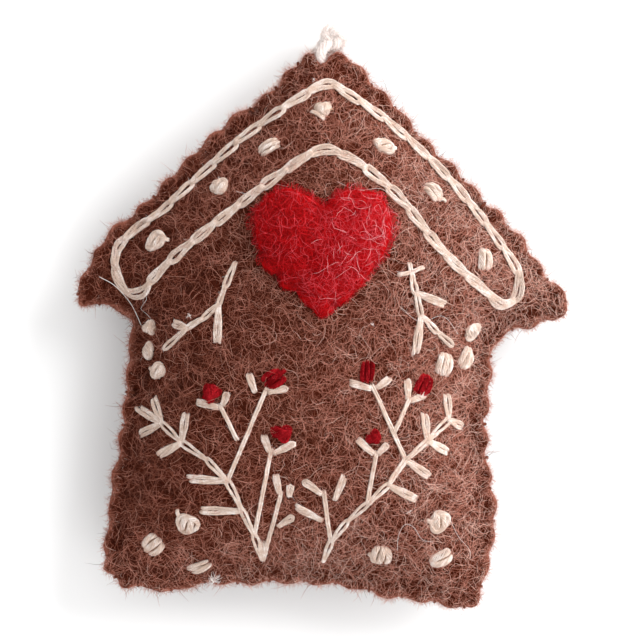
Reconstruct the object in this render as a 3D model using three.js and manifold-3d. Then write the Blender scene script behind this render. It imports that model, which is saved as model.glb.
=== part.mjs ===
// A stuffed felt gingerbread-house ornament lying on its back: two felt panels whip-stitched round a soft
// filling, a felt heart and embroidery on the front, and a cord loop at the peak, tucked under the roof.
// Millimetres. +X is to the house's right, +Y towards its peak and +Z out of its front.

import * as THREE from "three";
import { mergeGeometries, mergeVertices } from "three/addons/utils/BufferGeometryUtils.js";
import Module from "manifold-3d";

const wasm = await Module();
wasm.setup();

// House outline
const HOUSE_HEIGHT = 100; // lower foot to peak
const EAVE_SPAN = 89.6; // eave tip to eave tip
const EAVE_HEIGHT = 57.6; // eave tips above the lower foot
const LEFT_EAVE_END = 3.9; // height of the blunt ends of the eaves
const RIGHT_EAVE_END = 5.9;
const EAVE_UNDERCUT = 2.2; // how far an end slants in to its lower corner
const PEAK_WIDTH = 8.6;
const PEAK_SHIFT = 0.7; // peak to the right of the middle of the eaves
const CENTRE_SHIFT = -1.4; // middle of the bulge, from the peak
const CENTRE_DROP = 27.9;
const WALL_TOP_WIDTH = 65.2;
const WALL_TOP_SHIFT = -1.5;
const LEFT_EAVE_DROP = 5.7; // wall top below the eave tip
const RIGHT_EAVE_DROP = 10.2;
const BASE_WIDTH = 68.6;
const BASE_SHIFT = -4.8;
const LEFT_FOOT_RISE = 3; // left foot above the right one
const RIGHT_KNEE_HEIGHT = 15; // swell low on the right wall
const RIGHT_KNEE_WIDTH = 2.2;

// How far each edge bows out between its corners
const LEFT_ROOF_BOW = 1.2;
const RIGHT_ROOF_BOW = 0.4;
const RIGHT_WALL_BOW = -0.9;
const BASE_BOW = -2.6;

// How far the rounding of a corner reaches along its edges
const PEAK_ROUND = 3;
const EAVE_ROUND = 2.2;
const EAVE_LIP_ROUND = 1.6;
const NOTCH_ROUND = 3;
const FOOT_ROUND = 5;
const KNEE_ROUND = 8;

// Felt panels and filling
const FELT = 2;
const SEAM_GAP = 0.3;
const FRONT_SWELL = 12;
const BACK_SWELL = 10.5;
const BACK_PRESS = 1.5; // how much of the back the table flattens
const SWELL_REACH = 23; // depth from the edge at which the panel is full
const SWELL_ROUNDNESS = 2.2;
const CLEARANCE = 0.3;
const LAY_GAP = 0.5; // under the embroidery
const HEART_GAP = 0.6; // under the heart

// Whip stitch round the edge
const EDGE_THREAD = 0.6;
const STITCH_PITCH = 5.8;
const STITCH_BITE = 2.4; // stitch holes in from the edge
const STITCH_MARGIN = 0.8; // flat felt behind the holes
const SCALLOP_DEPTH = 1.2; // dent that a stitch pulls into the edge
const THREAD_BEND = 0.6;
const HOLE_LENGTH = 4 * FELT;
const LOOK_BEHIND = 2 * STITCH_BITE; // where the felt behind a stitch is measured
const SQUARE_ROOM = 1.4 * STITCH_BITE; // depth there that lets a stitch stand square to the edge
const FLANGE = STITCH_BITE + STITCH_MARGIN; // flat border that the stitches hold

// Embroidery
const CHAIN_WIDTH = 1.7;
const CHAIN_PITCH = 5.4;
const CHAIN_JOINT = 0.9; // width where one link comes out of another
const CHAIN_STRAND = 0.5; // strand on each side of a link's slit
const LINK_SHOULDER = 0.3; // shares of a link's length at which it is widest and its slit starts
const SLIT_END = 0.16;
const FLOSS = 0.75;
const LEAF_WIDTH = 1.8;
const STALK_WIDTH = 0.85;
const BRACT_WIDTH = 1.1;
const KNOT_RADIUS = 1.75;
const KNOT_HEIGHT = 1.5;
const BERRY_RADIUS = 1.8;
const BERRY_HEIGHT = 1.6;
const KNOT_PROFILE = [[0, 0], [0.8, 0], [1, 0.45], [0.65, 1], [0, 0.85]]; // shares of radius and height

// Heart
const HEART_WIDTH = 25;
const HEART_HEIGHT = 24;
const HEART_CLEFT = 3.6;
const HEART_DROP = 36.9; // heart's middle below the peak
const HEART_EDGE = 1.8;
const HEART_SWELL = 2;
const HEART_REACH = 7;

// Pulls on the heart's curves, as shares of its half width, its cleft and its height
const LOBE_LEAN = 0.3;
const LOBE_LIFT = 0.45;
const SHOULDER_LIFT = 0.35;
const WAIST_RISE = 0.2;
const FLANK_FALL = 0.12;
const TIP_FALL = 0.3;

// Hanger
const CORD = 1.8;
const CORD_TUCK = 4.2; // cord's end inside the seam
const KNOT_LOBE = 0.95;
const KNOT_LOBES = 3;
const KNOT_TILT = 0.6;

// Facets
const RAYS_PER_STITCH = 4;
const RING_DEPTHS = [0.17, 0.42, 0.75]; // rings on the bulge, as shares of the way to its middle
const CROWN_RINGS = [0.72, 0.4]; // rings inside those, as shares of the last one's size
const HEART_RAYS = 32;
const HEART_RING = 0.6;
const HEART_CROWN = 0.5;
const FLOSS_SIDES = 4;
const BUTTON_SIDES = 6;
const THREAD_SIDES = 4;
const CORD_SIDES = 8;
const CORD_STEPS = 32;
const TAIL_STEPS = 4;
const CHANNEL_STEPS = 6;
const KNOT_SIDES = 5;
const KNOT_STEPS = 9;
const STALK_STEP = 2.5;
const LINK_POINTS = 10;

// Corners of the outline
const BASE_Y = -HOUSE_HEIGHT / 2;
const PEAK_Y = HOUSE_HEIGHT / 2;
const EAVE_Y = BASE_Y + EAVE_HEIGHT;
const peak = [PEAK_SHIFT, PEAK_Y];
const peakLeft = [PEAK_SHIFT - PEAK_WIDTH / 2, PEAK_Y];
const peakRight = [PEAK_SHIFT + PEAK_WIDTH / 2, PEAK_Y];
const leftEave = [-EAVE_SPAN / 2, EAVE_Y];
const rightEave = [EAVE_SPAN / 2, EAVE_Y];
const leftLip = [EAVE_UNDERCUT - EAVE_SPAN / 2, EAVE_Y - LEFT_EAVE_END];
const rightLip = [EAVE_SPAN / 2 - EAVE_UNDERCUT, EAVE_Y - RIGHT_EAVE_END];
const leftWallTop = [WALL_TOP_SHIFT - WALL_TOP_WIDTH / 2, EAVE_Y - LEFT_EAVE_DROP];
const rightWallTop = [WALL_TOP_SHIFT + WALL_TOP_WIDTH / 2, EAVE_Y - RIGHT_EAVE_DROP];
const baseMiddle = [BASE_SHIFT, BASE_Y];
const leftFoot = [BASE_SHIFT - BASE_WIDTH / 2, BASE_Y + LEFT_FOOT_RISE];
const rightFoot = [BASE_SHIFT + BASE_WIDTH / 2, BASE_Y];
const rightKnee = [rightFoot[0] + RIGHT_KNEE_WIDTH, BASE_Y + RIGHT_KNEE_HEIGHT];

// The seam's height over the table
const SEAM_Z = SEAM_GAP / 2 + FELT + BACK_SWELL - BACK_PRESS;

// Each stitched motif is set out from the corner of the house that it belongs to.
const ROOF_BAND = [
  { at: from(leftEave, 11.6, -3), round: 3, bow: -0.8 },
  { at: from(peak, -0.8, -16.9), round: 4, bow: -1.4 },
  { at: from(rightEave, -11.6, -4.4), round: 3, bow: 0 },
  { at: from(rightEave, -8.4, 1.6), round: 3.5, bow: 2.2 },
  { at: from(peak, 0.7, -5.5), round: 4, bow: 1.4 },
  { at: from(leftEave, 9, 5.4), round: 4, bow: 0 },
];

// French knots on each roof slope, as the share of the way from eave to peak and the distance inwards
const LEFT_ROOF_KNOTS = [[0.275, 5.4], [0.51, 6.2], [0.69, 6.9]];
const RIGHT_ROOF_KNOTS = [[0.235, 7.3], [0.475, 5.7], [0.675, 5.9]];
const PEAK_KNOT_DROP = 11.2;
const LEFT_WALL_KNOTS = [[4.6, -1.8], [4.1, -6.1], [6.1, -9.4]];
const RIGHT_WALL_KNOTS = [[-4.1, 2], [-5.3, -2.5], [-9.3, -3.6]];
const LEFT_FOOT_KNOTS = [[16.1, 12.7], [9.7, 8.5], [17.7, 5.3]];
const RIGHT_FOOT_KNOTS = [[-8.5, 16.3], [-18.7, 10.3], [-8.5, 9.7]];

// A sprig is a chain-stitched stem. A leaf stands on one of the stem's points, at an angle in degrees, and
// so does a stalk, which ends in bracts and may branch.
const LEFT_SPRIG = {
  stem: [
    [-5.2, 8.2], [-6.8, 12.8], [-8.8, 17.3], [-11.4, 22.6], [-15, 26.4], [-19.5, 29.3], [-23.1, 32.6],
  ],
  leaves: [
    [6, 109, 4.9], [6, 148, 5.4], [6, 206, 4.6], [5, 82, 5.4], [5, 209, 5.1], [3, 177, 7.2], [2, 180, 7.5],
  ],
  stalks: [
    { on: 3, angle: 67, length: 18, bracts: [[6, 4]] },
    { on: 1, angle: 78.6, length: 15.7, bracts: [[113, 3.3], [21, 4.8]] },
    { on: 0, angle: 75, length: 12.9, bracts: [[104, 3.6]] },
  ],
};
const RIGHT_SPRIG = {
  stem: [
    [5.5, 7.9], [6.9, 11.6], [9.7, 15.3], [13.3, 18.4], [17, 21.9], [20.1, 26.4], [24, 29.7], [27.8, 33.3],
  ],
  leaves: [[7, 94, 4.8], [7, -28, 3], [6, 96, 4.7], [6, -30, 4.4], [5, -36, 5.4], [4, -27, 5.8]],
  stalks: [
    {
      on: 5, angle: 114, length: 14.5, bracts: [[167, 4.3], [30, 3.4]],
      branch: { share: 0.35, angle: 66, length: 7, bracts: [[95, 3.6], [19, 3.4]] },
    },
    { on: 3, angle: 80, length: 9.5, bracts: [[141, 4.4], [41, 2.8]] },
    { on: 1, angle: 98, length: 9.2, bracts: [[147, 4.6]] },
  ],
};
const LEFT_TWIG = { start: [-9.7, 29.9], angle: 116, length: 7.1, bracts: [[170, 4.5], [62, 2.8]] };
const LEFT_GABLE_SPRIG = {
  stem: [[-15.4, -38], [-17.2, -41.9], [-18.5, -45.4], [-21.1, -47.8], [-24, -49.6], [-28.1, -53.2]],
  leaves: [[2, 268, 6.7], [4, 160, 2.9]],
  stalks: [],
};
const RIGHT_GABLE_SPRIG = {
  stem: [[15.6, -39.7], [16.3, -43.2], [17.4, -47.3], [20.1, -50.1], [22.8, -52.6]],
  leaves: [[1, -22, 5.8], [2, 262, 6.8]],
  stalks: [
    { on: 0, angle: 192, length: 1.6, bracts: [] },
    { on: 0, angle: 21, length: 1.9, bracts: [] },
  ],
};

// Single bracts: start, angle and length
const LEFT_BRACTS = [[-6.5, 38.3, 109, 3.4], [-0.5, 19.8, 85, 2.4], [-2.6, 14.4, 33, 3.7]];
const RIGHT_BRACTS = [[7.5, 19.2, 68, 4.8], [5.5, 15.5, 152, 5.5]];
const LEFT_BERRIES = [[-14.1, 38.3], [-3.1, 41], [-1.7, 31.4]];
const RIGHT_BERRIES = [[13.2, 42.2], [22.9, 39.8], [14.3, 30.6]];

// The hanger's knot and its loop: down from the knot, along the table under the left roof slope and back.
const HANGER_KNOT = [2.5, 51.7];
const HANGER_ROUTE = [
  [1.7, 52.5, 9.6], [1.7, 52.5, 7], [1.7, 52.5, 4.7], [1, 51.7, 2.1], [-0.8, 49.8, 1.1],
  [-5.5, 45.5, 1.1], [-12.7, 38.6, 1.1], [-19.9, 31.7, 1.1], [-28.4, 23.2, 1.1], [-29.4, 20.4, 1.1],
  [-28.2, 17.8, 1.1], [-25.4, 16.8, 1.1], [-22.8, 18, 1.1], [-15.6, 27.6, 1.1], [-9.5, 35.7, 1.1],
  [-3.3, 43.5, 1.1], [0.8, 48.2, 1.1], [2.6, 50.1, 2.1], [3.3, 50.9, 4.7], [3.3, 50.9, 7],
  [3.3, 50.9, 9.6],
];

const brownFelt = new THREE.MeshStandardMaterial({ color: 0x74463c, roughness: 0.95, metalness: 0 });
const redFelt = new THREE.MeshStandardMaterial({ color: 0xa31b1f, roughness: 0.95, metalness: 0 });
const fillingWool = new THREE.MeshStandardMaterial({ color: 0xf2eee6, roughness: 1, metalness: 0 });
const brownThread = new THREE.MeshStandardMaterial({ color: 0x6b4237, roughness: 0.85, metalness: 0 });
const creamFloss = new THREE.MeshStandardMaterial({ color: 0xe4cfc2, roughness: 0.75, metalness: 0 });
const redFloss = new THREE.MeshStandardMaterial({ color: 0x8f2023, roughness: 0.75, metalness: 0 });
const creamCord = new THREE.MeshStandardMaterial({ color: 0xdccabc, roughness: 0.85, metalness: 0 });

const ornament = new THREE.Group();

function add(name, geometry, material) {
  const mesh = new THREE.Mesh(geometry, material);
  mesh.name = name;
  ornament.add(mesh);
}

// Plan helpers
function from([x, y], right, up) {
  return [x + right, y + up];
}

function heading(degrees, length) {
  const angle = THREE.MathUtils.degToRad(degrees);
  return [length * Math.cos(angle), length * Math.sin(angle)];
}

// A closed path with rounded corners and bowed edges that starts in the middle of its last edge.
function roundedPath(corners) {
  const path = new THREE.Path();
  const count = corners.length;
  const corner = (i) => new THREE.Vector2(...corners[(i + count) % count].at);
  const start = corner(-1).lerp(corner(0), 0.5);
  path.moveTo(start.x, start.y);
  let last = start;
  corners.forEach((spec, i) => {
    const here = corner(i);
    const along = (other) => other.sub(here).setLength(spec.round).add(here);
    const enter = along(corner(i - 1));
    const leave = along(corner(i + 1));
    bowTo(path, last, enter, i === 0 ? 0 : corners[i - 1].bow);
    path.quadraticCurveTo(here.x, here.y, leave.x, leave.y);
    last = leave;
  });
  path.lineTo(start.x, start.y);
  return path;
}

function bowTo(path, start, end, bow) {
  const along = end.clone().sub(start).normalize();
  const outward = new THREE.Vector2(along.y, -along.x);
  const control = start.clone().lerp(end, 0.5).addScaledVector(outward, 2 * bow);
  path.quadraticCurveTo(control.x, control.y, end.x, end.y);
}

function distanceToOutline(outline, x, y) {
  const point = new THREE.Vector3(x, y, 0);
  const edge = new THREE.Line3();
  const nearest = new THREE.Vector3();
  let least = Infinity;
  outline.forEach((start, i) => {
    const end = outline[(i + 1) % outline.length];
    edge.start.set(start.x, start.y, 0);
    edge.end.set(end.x, end.y, 0);
    edge.closestPointToPoint(point, true, nearest);
    least = Math.min(least, nearest.distanceTo(point));
  });
  return least;
}

// A depth without creases, for a panel that bulges: it equals the distance to a long straight edge, and is
// less where other edges are near. It sums the inverse fourth power of the distance to each bit of outline.
function softDepth(outline, x, y) {
  const here = new THREE.Vector2(x, y);
  const stretch = outline[0].distanceTo(outline[1]);
  const sum = outline.reduce((total, point) => total + stretch / point.distanceToSquared(here) ** 2, 0);
  return Math.cbrt(Math.PI / 2 / sum);
}

// A panel's plan: its even outline, its rim with a dent at every stitch, and the centre of its rings.
function panelPlan(path, rays, raysPerDent, dentDepth, centre) {
  const outline = path.getSpacedPoints(rays).slice(0, rays);
  const outward = outline.map((_, i) => {
    const along = outline[(i + 1) % rays].clone().sub(outline[(i + rays - 1) % rays]).normalize();
    return new THREE.Vector2(along.y, -along.x);
  });
  const rim = outline.map((point, i) => {
    const crest = Math.abs(Math.sin((Math.PI * i) / raysPerDent));
    return point.clone().addScaledVector(outward[i], -dentDepth * (1 - crest));
  });
  const depth = (x, y) => distanceToOutline(outline, x, y);
  const bulgeDepth = (x, y) => Math.min(depth(x, y), softDepth(outline, x, y));
  return { rim, outward, centre: new THREE.Vector2(...centre), depth, bulgeDepth };
}

// The point at a depth from the edge on the straight line from the centre to a rim point.
function pointAtDepth(plan, rimPoint, depth) {
  let inner = 0;
  let outer = 1;
  while (outer - inner > 1e-7) {
    const middle = (inner + outer) / 2;
    const point = plan.centre.clone().lerp(rimPoint, middle);
    if (plan.depth(point.x, point.y) > depth) {
      inner = middle;
    } else {
      outer = middle;
    }
  }
  return plan.centre.clone().lerp(rimPoint, inner);
}

function ringAtDepth(plan, depth, every) {
  return plan.rim.filter((_, i) => i % every === 0).map((point) => pointAtDepth(plan, point, depth));
}

function shrunkRing(plan, ring, share, every) {
  return ring.filter((_, i) => i % every === 0).map((point) => plan.centre.clone().lerp(point, share));
}

// A closed body between two height functions, over nested rings that halve their count or keep it.
function domedBody(rings, centre, top, bottom) {
  const positions = [];
  const triangles = [];
  const layer = (height) => {
    const lift = (point) => positions.push(point.x, point.y, height(point.x, point.y)) / 3 - 1;
    return { rings: rings.map((ring) => ring.map(lift)), centre: lift(centre) };
  };
  const upper = layer(top);
  const lower = layer(bottom);
  const face = (a, b, c, flip) => triangles.push(...(flip ? [a, c, b] : [a, b, c]));
  [[upper, false], [lower, true]].forEach(([sheet, flip]) => {
    sheet.rings.slice(1).forEach((inner, r) => {
      const outer = sheet.rings[r];
      const step = outer.length / inner.length;
      inner.forEach((point, i) => {
        const next = inner[(i + 1) % inner.length];
        const first = outer[i * step];
        const middle = outer[i * step + step - 1];
        const last = outer[(i * step + step) % outer.length];
        if (step === 2) {
          face(first, middle, point, flip);
        }
        face(middle, next, point, flip);
        face(middle, last, next, flip);
      });
    });
    const innermost = sheet.rings.at(-1);
    innermost.forEach((point, i) => face(point, innermost[(i + 1) % innermost.length], sheet.centre, flip));
  });
  const under = lower.rings[0];
  const over = upper.rings[0];
  under.forEach((point, i) => {
    const next = (i + 1) % under.length;
    face(point, under[next], over[next], false);
    face(point, over[next], over[i], false);
  });
  return closedGeometry(positions, triangles);
}

function closedGeometry(positions, triangles) {
  const geometry = new THREE.BufferGeometry();
  geometry.setAttribute("position", new THREE.Float32BufferAttribute(positions, 3));
  geometry.setIndex(triangles);
  return geometry;
}

// Joining and cutting
function solidOf(geometry) {
  const bare = geometry.clone();
  bare.deleteAttribute("normal");
  bare.deleteAttribute("uv");
  const merged = mergeVertices(bare, 1e-4);
  const index = Array.from(merged.index.array);
  const whole = [];
  for (let i = 0; i < index.length; i += 3) {
    const [a, b, c] = index.slice(i, i + 3);
    if (a !== b && b !== c && c !== a) {
      whole.push(a, b, c);
    }
  }
  const vertProperties = new Float32Array(merged.attributes.position.array);
  return new wasm.Manifold(new wasm.Mesh({ numProp: 3, vertProperties, triVerts: new Uint32Array(whole) }));
}

function geometryOf(solid) {
  const mesh = solid.getMesh();
  return closedGeometry(Array.from(mesh.vertProperties), Array.from(mesh.triVerts));
}

function joined(geometries) {
  return geometryOf(geometries.map(solidOf).reduce((whole, part) => whole.add(part)));
}

// Felt panels and filling
const housePath = roundedPath([
  { at: peakLeft, round: PEAK_ROUND, bow: LEFT_ROOF_BOW },
  { at: leftEave, round: EAVE_ROUND, bow: 0 },
  { at: leftLip, round: EAVE_LIP_ROUND, bow: 0 },
  { at: leftWallTop, round: NOTCH_ROUND, bow: 0 },
  { at: leftFoot, round: FOOT_ROUND, bow: BASE_BOW },
  { at: rightFoot, round: FOOT_ROUND, bow: 0 },
  { at: rightKnee, round: KNEE_ROUND, bow: RIGHT_WALL_BOW },
  { at: rightWallTop, round: NOTCH_ROUND, bow: 0 },
  { at: rightLip, round: EAVE_LIP_ROUND, bow: 0 },
  { at: rightEave, round: EAVE_ROUND, bow: RIGHT_ROOF_BOW },
  { at: peakRight, round: PEAK_ROUND, bow: 0 },
]);
const STITCHES = 2 * Math.round(housePath.getLength() / STITCH_PITCH / 2);
const houseCentre = from(peak, CENTRE_SHIFT, -CENTRE_DROP);
const house = panelPlan(housePath, STITCHES * RAYS_PER_STITCH, RAYS_PER_STITCH, SCALLOP_DEPTH, houseCentre);
const centreDepth = house.depth(...houseCentre);
const ringDepth = (share) => FLANGE + share * (centreDepth - FLANGE);
const bulgeRings = RING_DEPTHS.map((share) => ringAtDepth(house, ringDepth(share), RAYS_PER_STITCH));
const crownRings = CROWN_RINGS.map((share, i) => shrunkRing(house, bulgeRings.at(-1), share, i + 1));
const innerRings = [...bulgeRings, ...crownRings];
const panelRings = [house.rim, ringAtDepth(house, FLANGE, 2), ...innerRings];

function swell(x, y, height) {
  const inward = (house.bulgeDepth(x, y) - FLANGE) / (SWELL_REACH - FLANGE);
  return height * (1 - (1 - THREE.MathUtils.clamp(inward, 0, 1)) ** SWELL_ROUNDNESS);
}

const frontInner = (x, y) => SEAM_Z + SEAM_GAP / 2 + swell(x, y, FRONT_SWELL);
const frontOuter = (x, y) => frontInner(x, y) + FELT;
const backOuter = (x, y) => Math.max(0, SEAM_Z - SEAM_GAP / 2 - swell(x, y, BACK_SWELL) - FELT);
const backInner = (x, y) => backOuter(x, y) + FELT;
const fillingTop = (x, y) => frontInner(x, y) - CLEARANCE;
const fillingBottom = (x, y) => backInner(x, y) + CLEARANCE;

const frontPanel = domedBody(panelRings, house.centre, frontOuter, frontInner);
const backPanel = domedBody(panelRings, house.centre, backInner, backOuter);
const filling = domedBody(innerRings, house.centre, fillingTop, fillingBottom);

// Stitch places: the dent in the rim and the hole square behind it, or behind it towards the middle where
// the eaves are too narrow for that. The peak's dent is left to the hanger's cord.
const threadReach = EDGE_THREAD / 2 + CLEARANCE;
const stitchPlaces = [];
for (let i = 1; i < STITCHES; i++) {
  const dent = house.rim[i * RAYS_PER_STITCH];
  const outward = house.outward[i * RAYS_PER_STITCH];
  const beyond = dent.clone().addScaledVector(outward, -LOOK_BEHIND);
  const isWide = house.depth(beyond.x, beyond.y) > SQUARE_ROOM;
  const square = dent.clone().addScaledVector(outward, SCALLOP_DEPTH - STITCH_BITE);
  const hole = isWide ? square : pointAtDepth(house, dent, STITCH_BITE);
  stitchPlaces.push({ hole, edge: dent.clone().addScaledVector(outward, threadReach) });
}

const holeRadius = (EDGE_THREAD / 2 + CLEARANCE) / Math.cos(Math.PI / THREAD_SIDES);
const holePins = mergeGeometries(stitchPlaces.map(({ hole, edge }) => {
  const pin = new THREE.CylinderGeometry(holeRadius, holeRadius, HOLE_LENGTH, THREAD_SIDES);
  pin.rotateX(Math.PI / 2);
  pin.rotateZ(edge.clone().sub(hole).angle() + Math.PI / THREAD_SIDES);
  return pin.translate(hole.x, hole.y, SEAM_Z);
}));

// The cord's end runs between the panels, so each has half of its channel.
const knotCentre = new THREE.Vector3(...HANGER_KNOT, SEAM_Z);
const knotReach = KNOT_LOBE / 2 + KNOT_LOBE + CORD / 2;
const cordExit = new THREE.Vector3(PEAK_SHIFT, PEAK_Y - SCALLOP_DEPTH - CORD / 2, SEAM_Z);
const cordEnd = new THREE.Vector3(PEAK_SHIFT, PEAK_Y - SCALLOP_DEPTH - CORD_TUCK, SEAM_Z);
const tailTop = cordExit.clone().sub(knotCentre).setLength(knotReach + CLEARANCE).add(knotCentre);
const tailRoute = [cordEnd, cordExit, tailTop];

function cordAlong(points, radius, steps) {
  const section = new THREE.Shape();
  section.absarc(0, 0, radius, 0, 2 * Math.PI, false);
  const extrudePath = new THREE.CatmullRomCurve3(points);
  return new THREE.ExtrudeGeometry(section, { steps, curveSegments: CORD_SIDES / 2, extrudePath });
}

const channel = solidOf(cordAlong(tailRoute, CORD / 2 + CLEARANCE, CHANNEL_STEPS));
const cuts = solidOf(holePins).add(channel);
add("front_felt", geometryOf(solidOf(frontPanel).subtract(cuts)), brownFelt);
add("back_felt", geometryOf(solidOf(backPanel).subtract(cuts)), brownFelt);
add("stuffing", filling, fillingWool);

// Whip stitch: one thread, up through each hole, out over the rim's dent and slanting back to the next.
const threadTop = SEAM_Z + SEAM_GAP / 2 + FELT + threadReach;
const threadBottom = SEAM_Z - SEAM_GAP / 2 - FELT - threadReach;

function whipRoute() {
  const route = [];
  stitchPlaces.forEach(({ hole, edge }, i) => {
    const bend = edge.clone().sub(hole).setLength(THREAD_BEND);
    const put = (point, z) => route.push(new THREE.Vector3(point.x, point.y, z));
    put(hole, threadBottom + THREAD_BEND);
    put(hole, threadTop - THREAD_BEND);
    put(hole.clone().add(bend), threadTop);
    put(edge.clone().sub(bend), threadTop);
    put(edge, threadTop - THREAD_BEND);
    put(edge, threadBottom + THREAD_BEND);
    if (i < stitchPlaces.length - 1) {
      const next = stitchPlaces[i + 1].hole;
      const slant = next.clone().sub(edge).setLength(THREAD_BEND);
      put(edge.clone().add(slant), threadBottom);
      put(next.clone().sub(slant), threadBottom);
    }
  });
  return route;
}

// A tube with a ring of corners at every point, mitred at the bends and closed at both ends.
function threadAlong(points, radius, sides) {
  const positions = [];
  const triangles = [];
  const leg = (i) => points[i + 1].clone().sub(points[i]).normalize();
  const lastLeg = points.length - 2;
  let side = new THREE.Vector3(-leg(0).y, leg(0).x, 0);
  side = side.lengthSq() > 0 ? side.normalize() : new THREE.Vector3(1, 0, 0);
  points.forEach((point, i) => {
    const before = leg(Math.max(0, i - 1));
    const after = leg(Math.min(lastLeg, i));
    const mitre = before.clone().add(after).normalize();
    const slide = (corner) => corner.addScaledVector(before, -corner.dot(mitre) / before.dot(mitre));
    const across = before.clone().cross(side);
    for (let s = 0; s < sides; s++) {
      const angle = (2 * Math.PI * (s + 0.5)) / sides;
      const corner = side.clone().multiplyScalar(radius * Math.cos(angle));
      corner.addScaledVector(across, radius * Math.sin(angle));
      positions.push(...slide(corner).add(point).toArray());
    }
    side.applyQuaternion(new THREE.Quaternion().setFromUnitVectors(before, after));
  });
  for (let ring = 0; ring < points.length - 1; ring++) {
    for (let s = 0; s < sides; s++) {
      const a = ring * sides + s;
      const b = ring * sides + ((s + 1) % sides);
      triangles.push(a, b, b + sides, a, b + sides, a + sides);
    }
  }
  const end = (points.length - 1) * sides;
  for (let s = 1; s < sides - 1; s++) {
    triangles.push(0, s + 1, s, end, end + s, end + s + 1);
  }
  return closedGeometry(positions, triangles);
}

// The least gap between points of the thread that lie more than four diameters apart along it.
function leastGap(points, diameter) {
  const samples = [];
  let travelled = 0;
  points.slice(1).forEach((end, i) => {
    const length = end.distanceTo(points[i]);
    const count = Math.ceil(length / (diameter / 2));
    for (let s = 0; s < count; s++) {
      samples.push({ at: points[i].clone().lerp(end, s / count), along: travelled + (length * s) / count });
    }
    travelled += length;
  });
  let least = Infinity;
  samples.forEach((a, i) => {
    samples.slice(i).filter((b) => b.along - a.along > 4 * diameter).forEach((b) => {
      least = Math.min(least, a.at.distanceTo(b.at));
    });
  });
  return least - diameter;
}

const edgeRoute = whipRoute();
console.log(`whip stitch: least gap to itself ${leastGap(edgeRoute, EDGE_THREAD).toFixed(2)} mm`);
add("edge_whipstitch", threadAlong(edgeRoute, EDGE_THREAD / 2, THREAD_SIDES), brownThread);

// Flat pieces are laid on the front panel by dropping each of their points onto it.
const frontMesh = new THREE.Mesh(frontPanel, new THREE.MeshBasicMaterial());
const dropper = new THREE.Raycaster();
const ABOVE = SEAM_Z + FELT + 2 * FRONT_SWELL;

function frontHeight(x, y) {
  dropper.set(new THREE.Vector3(x, y, ABOVE), new THREE.Vector3(0, 0, -1));
  return dropper.intersectObject(frontMesh)[0].point.z;
}

function laidOnFront(flat, gap) {
  const places = flat.attributes.position;
  for (let i = 0; i < places.count; i++) {
    places.setZ(i, places.getZ(i) + frontHeight(places.getX(i), places.getY(i)) + gap);
  }
  return flat;
}

// Heart: a small padded felt panel
const [heartX, heartY] = from(peak, 0, -HEART_DROP);
const heartTop = heartY + HEART_HEIGHT / 2;
const heartTip = heartY - HEART_HEIGHT / 2;
const heartWaist = heartY + HEART_HEIGHT * WAIST_RISE;
const heartLean = (HEART_WIDTH / 2) * LOBE_LEAN;
const heartLeft = heartX - HEART_WIDTH / 2;
const heartRight = heartX + HEART_WIDTH / 2;
const lobeAim = heartTop + HEART_CLEFT * LOBE_LIFT;
const shoulderAim = heartTop + HEART_CLEFT * SHOULDER_LIFT;
const flankAim = heartY - HEART_HEIGHT * FLANK_FALL;
const tipAim = heartY - HEART_HEIGHT * TIP_FALL;
const cleft = heartTop - HEART_CLEFT;
const heartPath = new THREE.Path();
heartPath.moveTo(heartX, cleft);
heartPath.bezierCurveTo(heartX - heartLean, lobeAim, heartLeft, shoulderAim, heartLeft, heartWaist);
heartPath.bezierCurveTo(heartLeft, flankAim, heartX - heartLean, tipAim, heartX, heartTip);
heartPath.bezierCurveTo(heartX + heartLean, tipAim, heartRight, flankAim, heartRight, heartWaist);
heartPath.bezierCurveTo(heartRight, shoulderAim, heartX + heartLean, lobeAim, heartX, cleft);
const heart = panelPlan(heartPath, HEART_RAYS, 1, 0, [heartX, heartWaist - HEART_CLEFT / 2]);
const heartRing = ringAtDepth(heart, HEART_REACH * HEART_RING, 1);
const heartCrown = shrunkRing(heart, heartRing, HEART_CROWN, 2);
const heartRings = [heart.rim, ringAtDepth(heart, HEART_EDGE, 1), heartRing, heartCrown];

function heartThickness(x, y) {
  const inward = Math.min(1, heart.depth(x, y) / HEART_REACH);
  return HEART_EDGE + HEART_SWELL * (1 - (1 - inward) ** SWELL_ROUNDNESS);
}

add("heart", laidOnFront(domedBody(heartRings, heart.centre, heartThickness, () => 0), HEART_GAP), redFelt);

// Embroidery stitches, lying flat on z = 0
function place(flat, [startX, startY], [endX, endY]) {
  flat.rotateZ(Math.atan2(endY - startY, endX - startX));
  return flat.translate(startX, startY, 0);
}

function span([startX, startY], [endX, endY]) {
  return Math.hypot(endX - startX, endY - startY);
}

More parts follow.
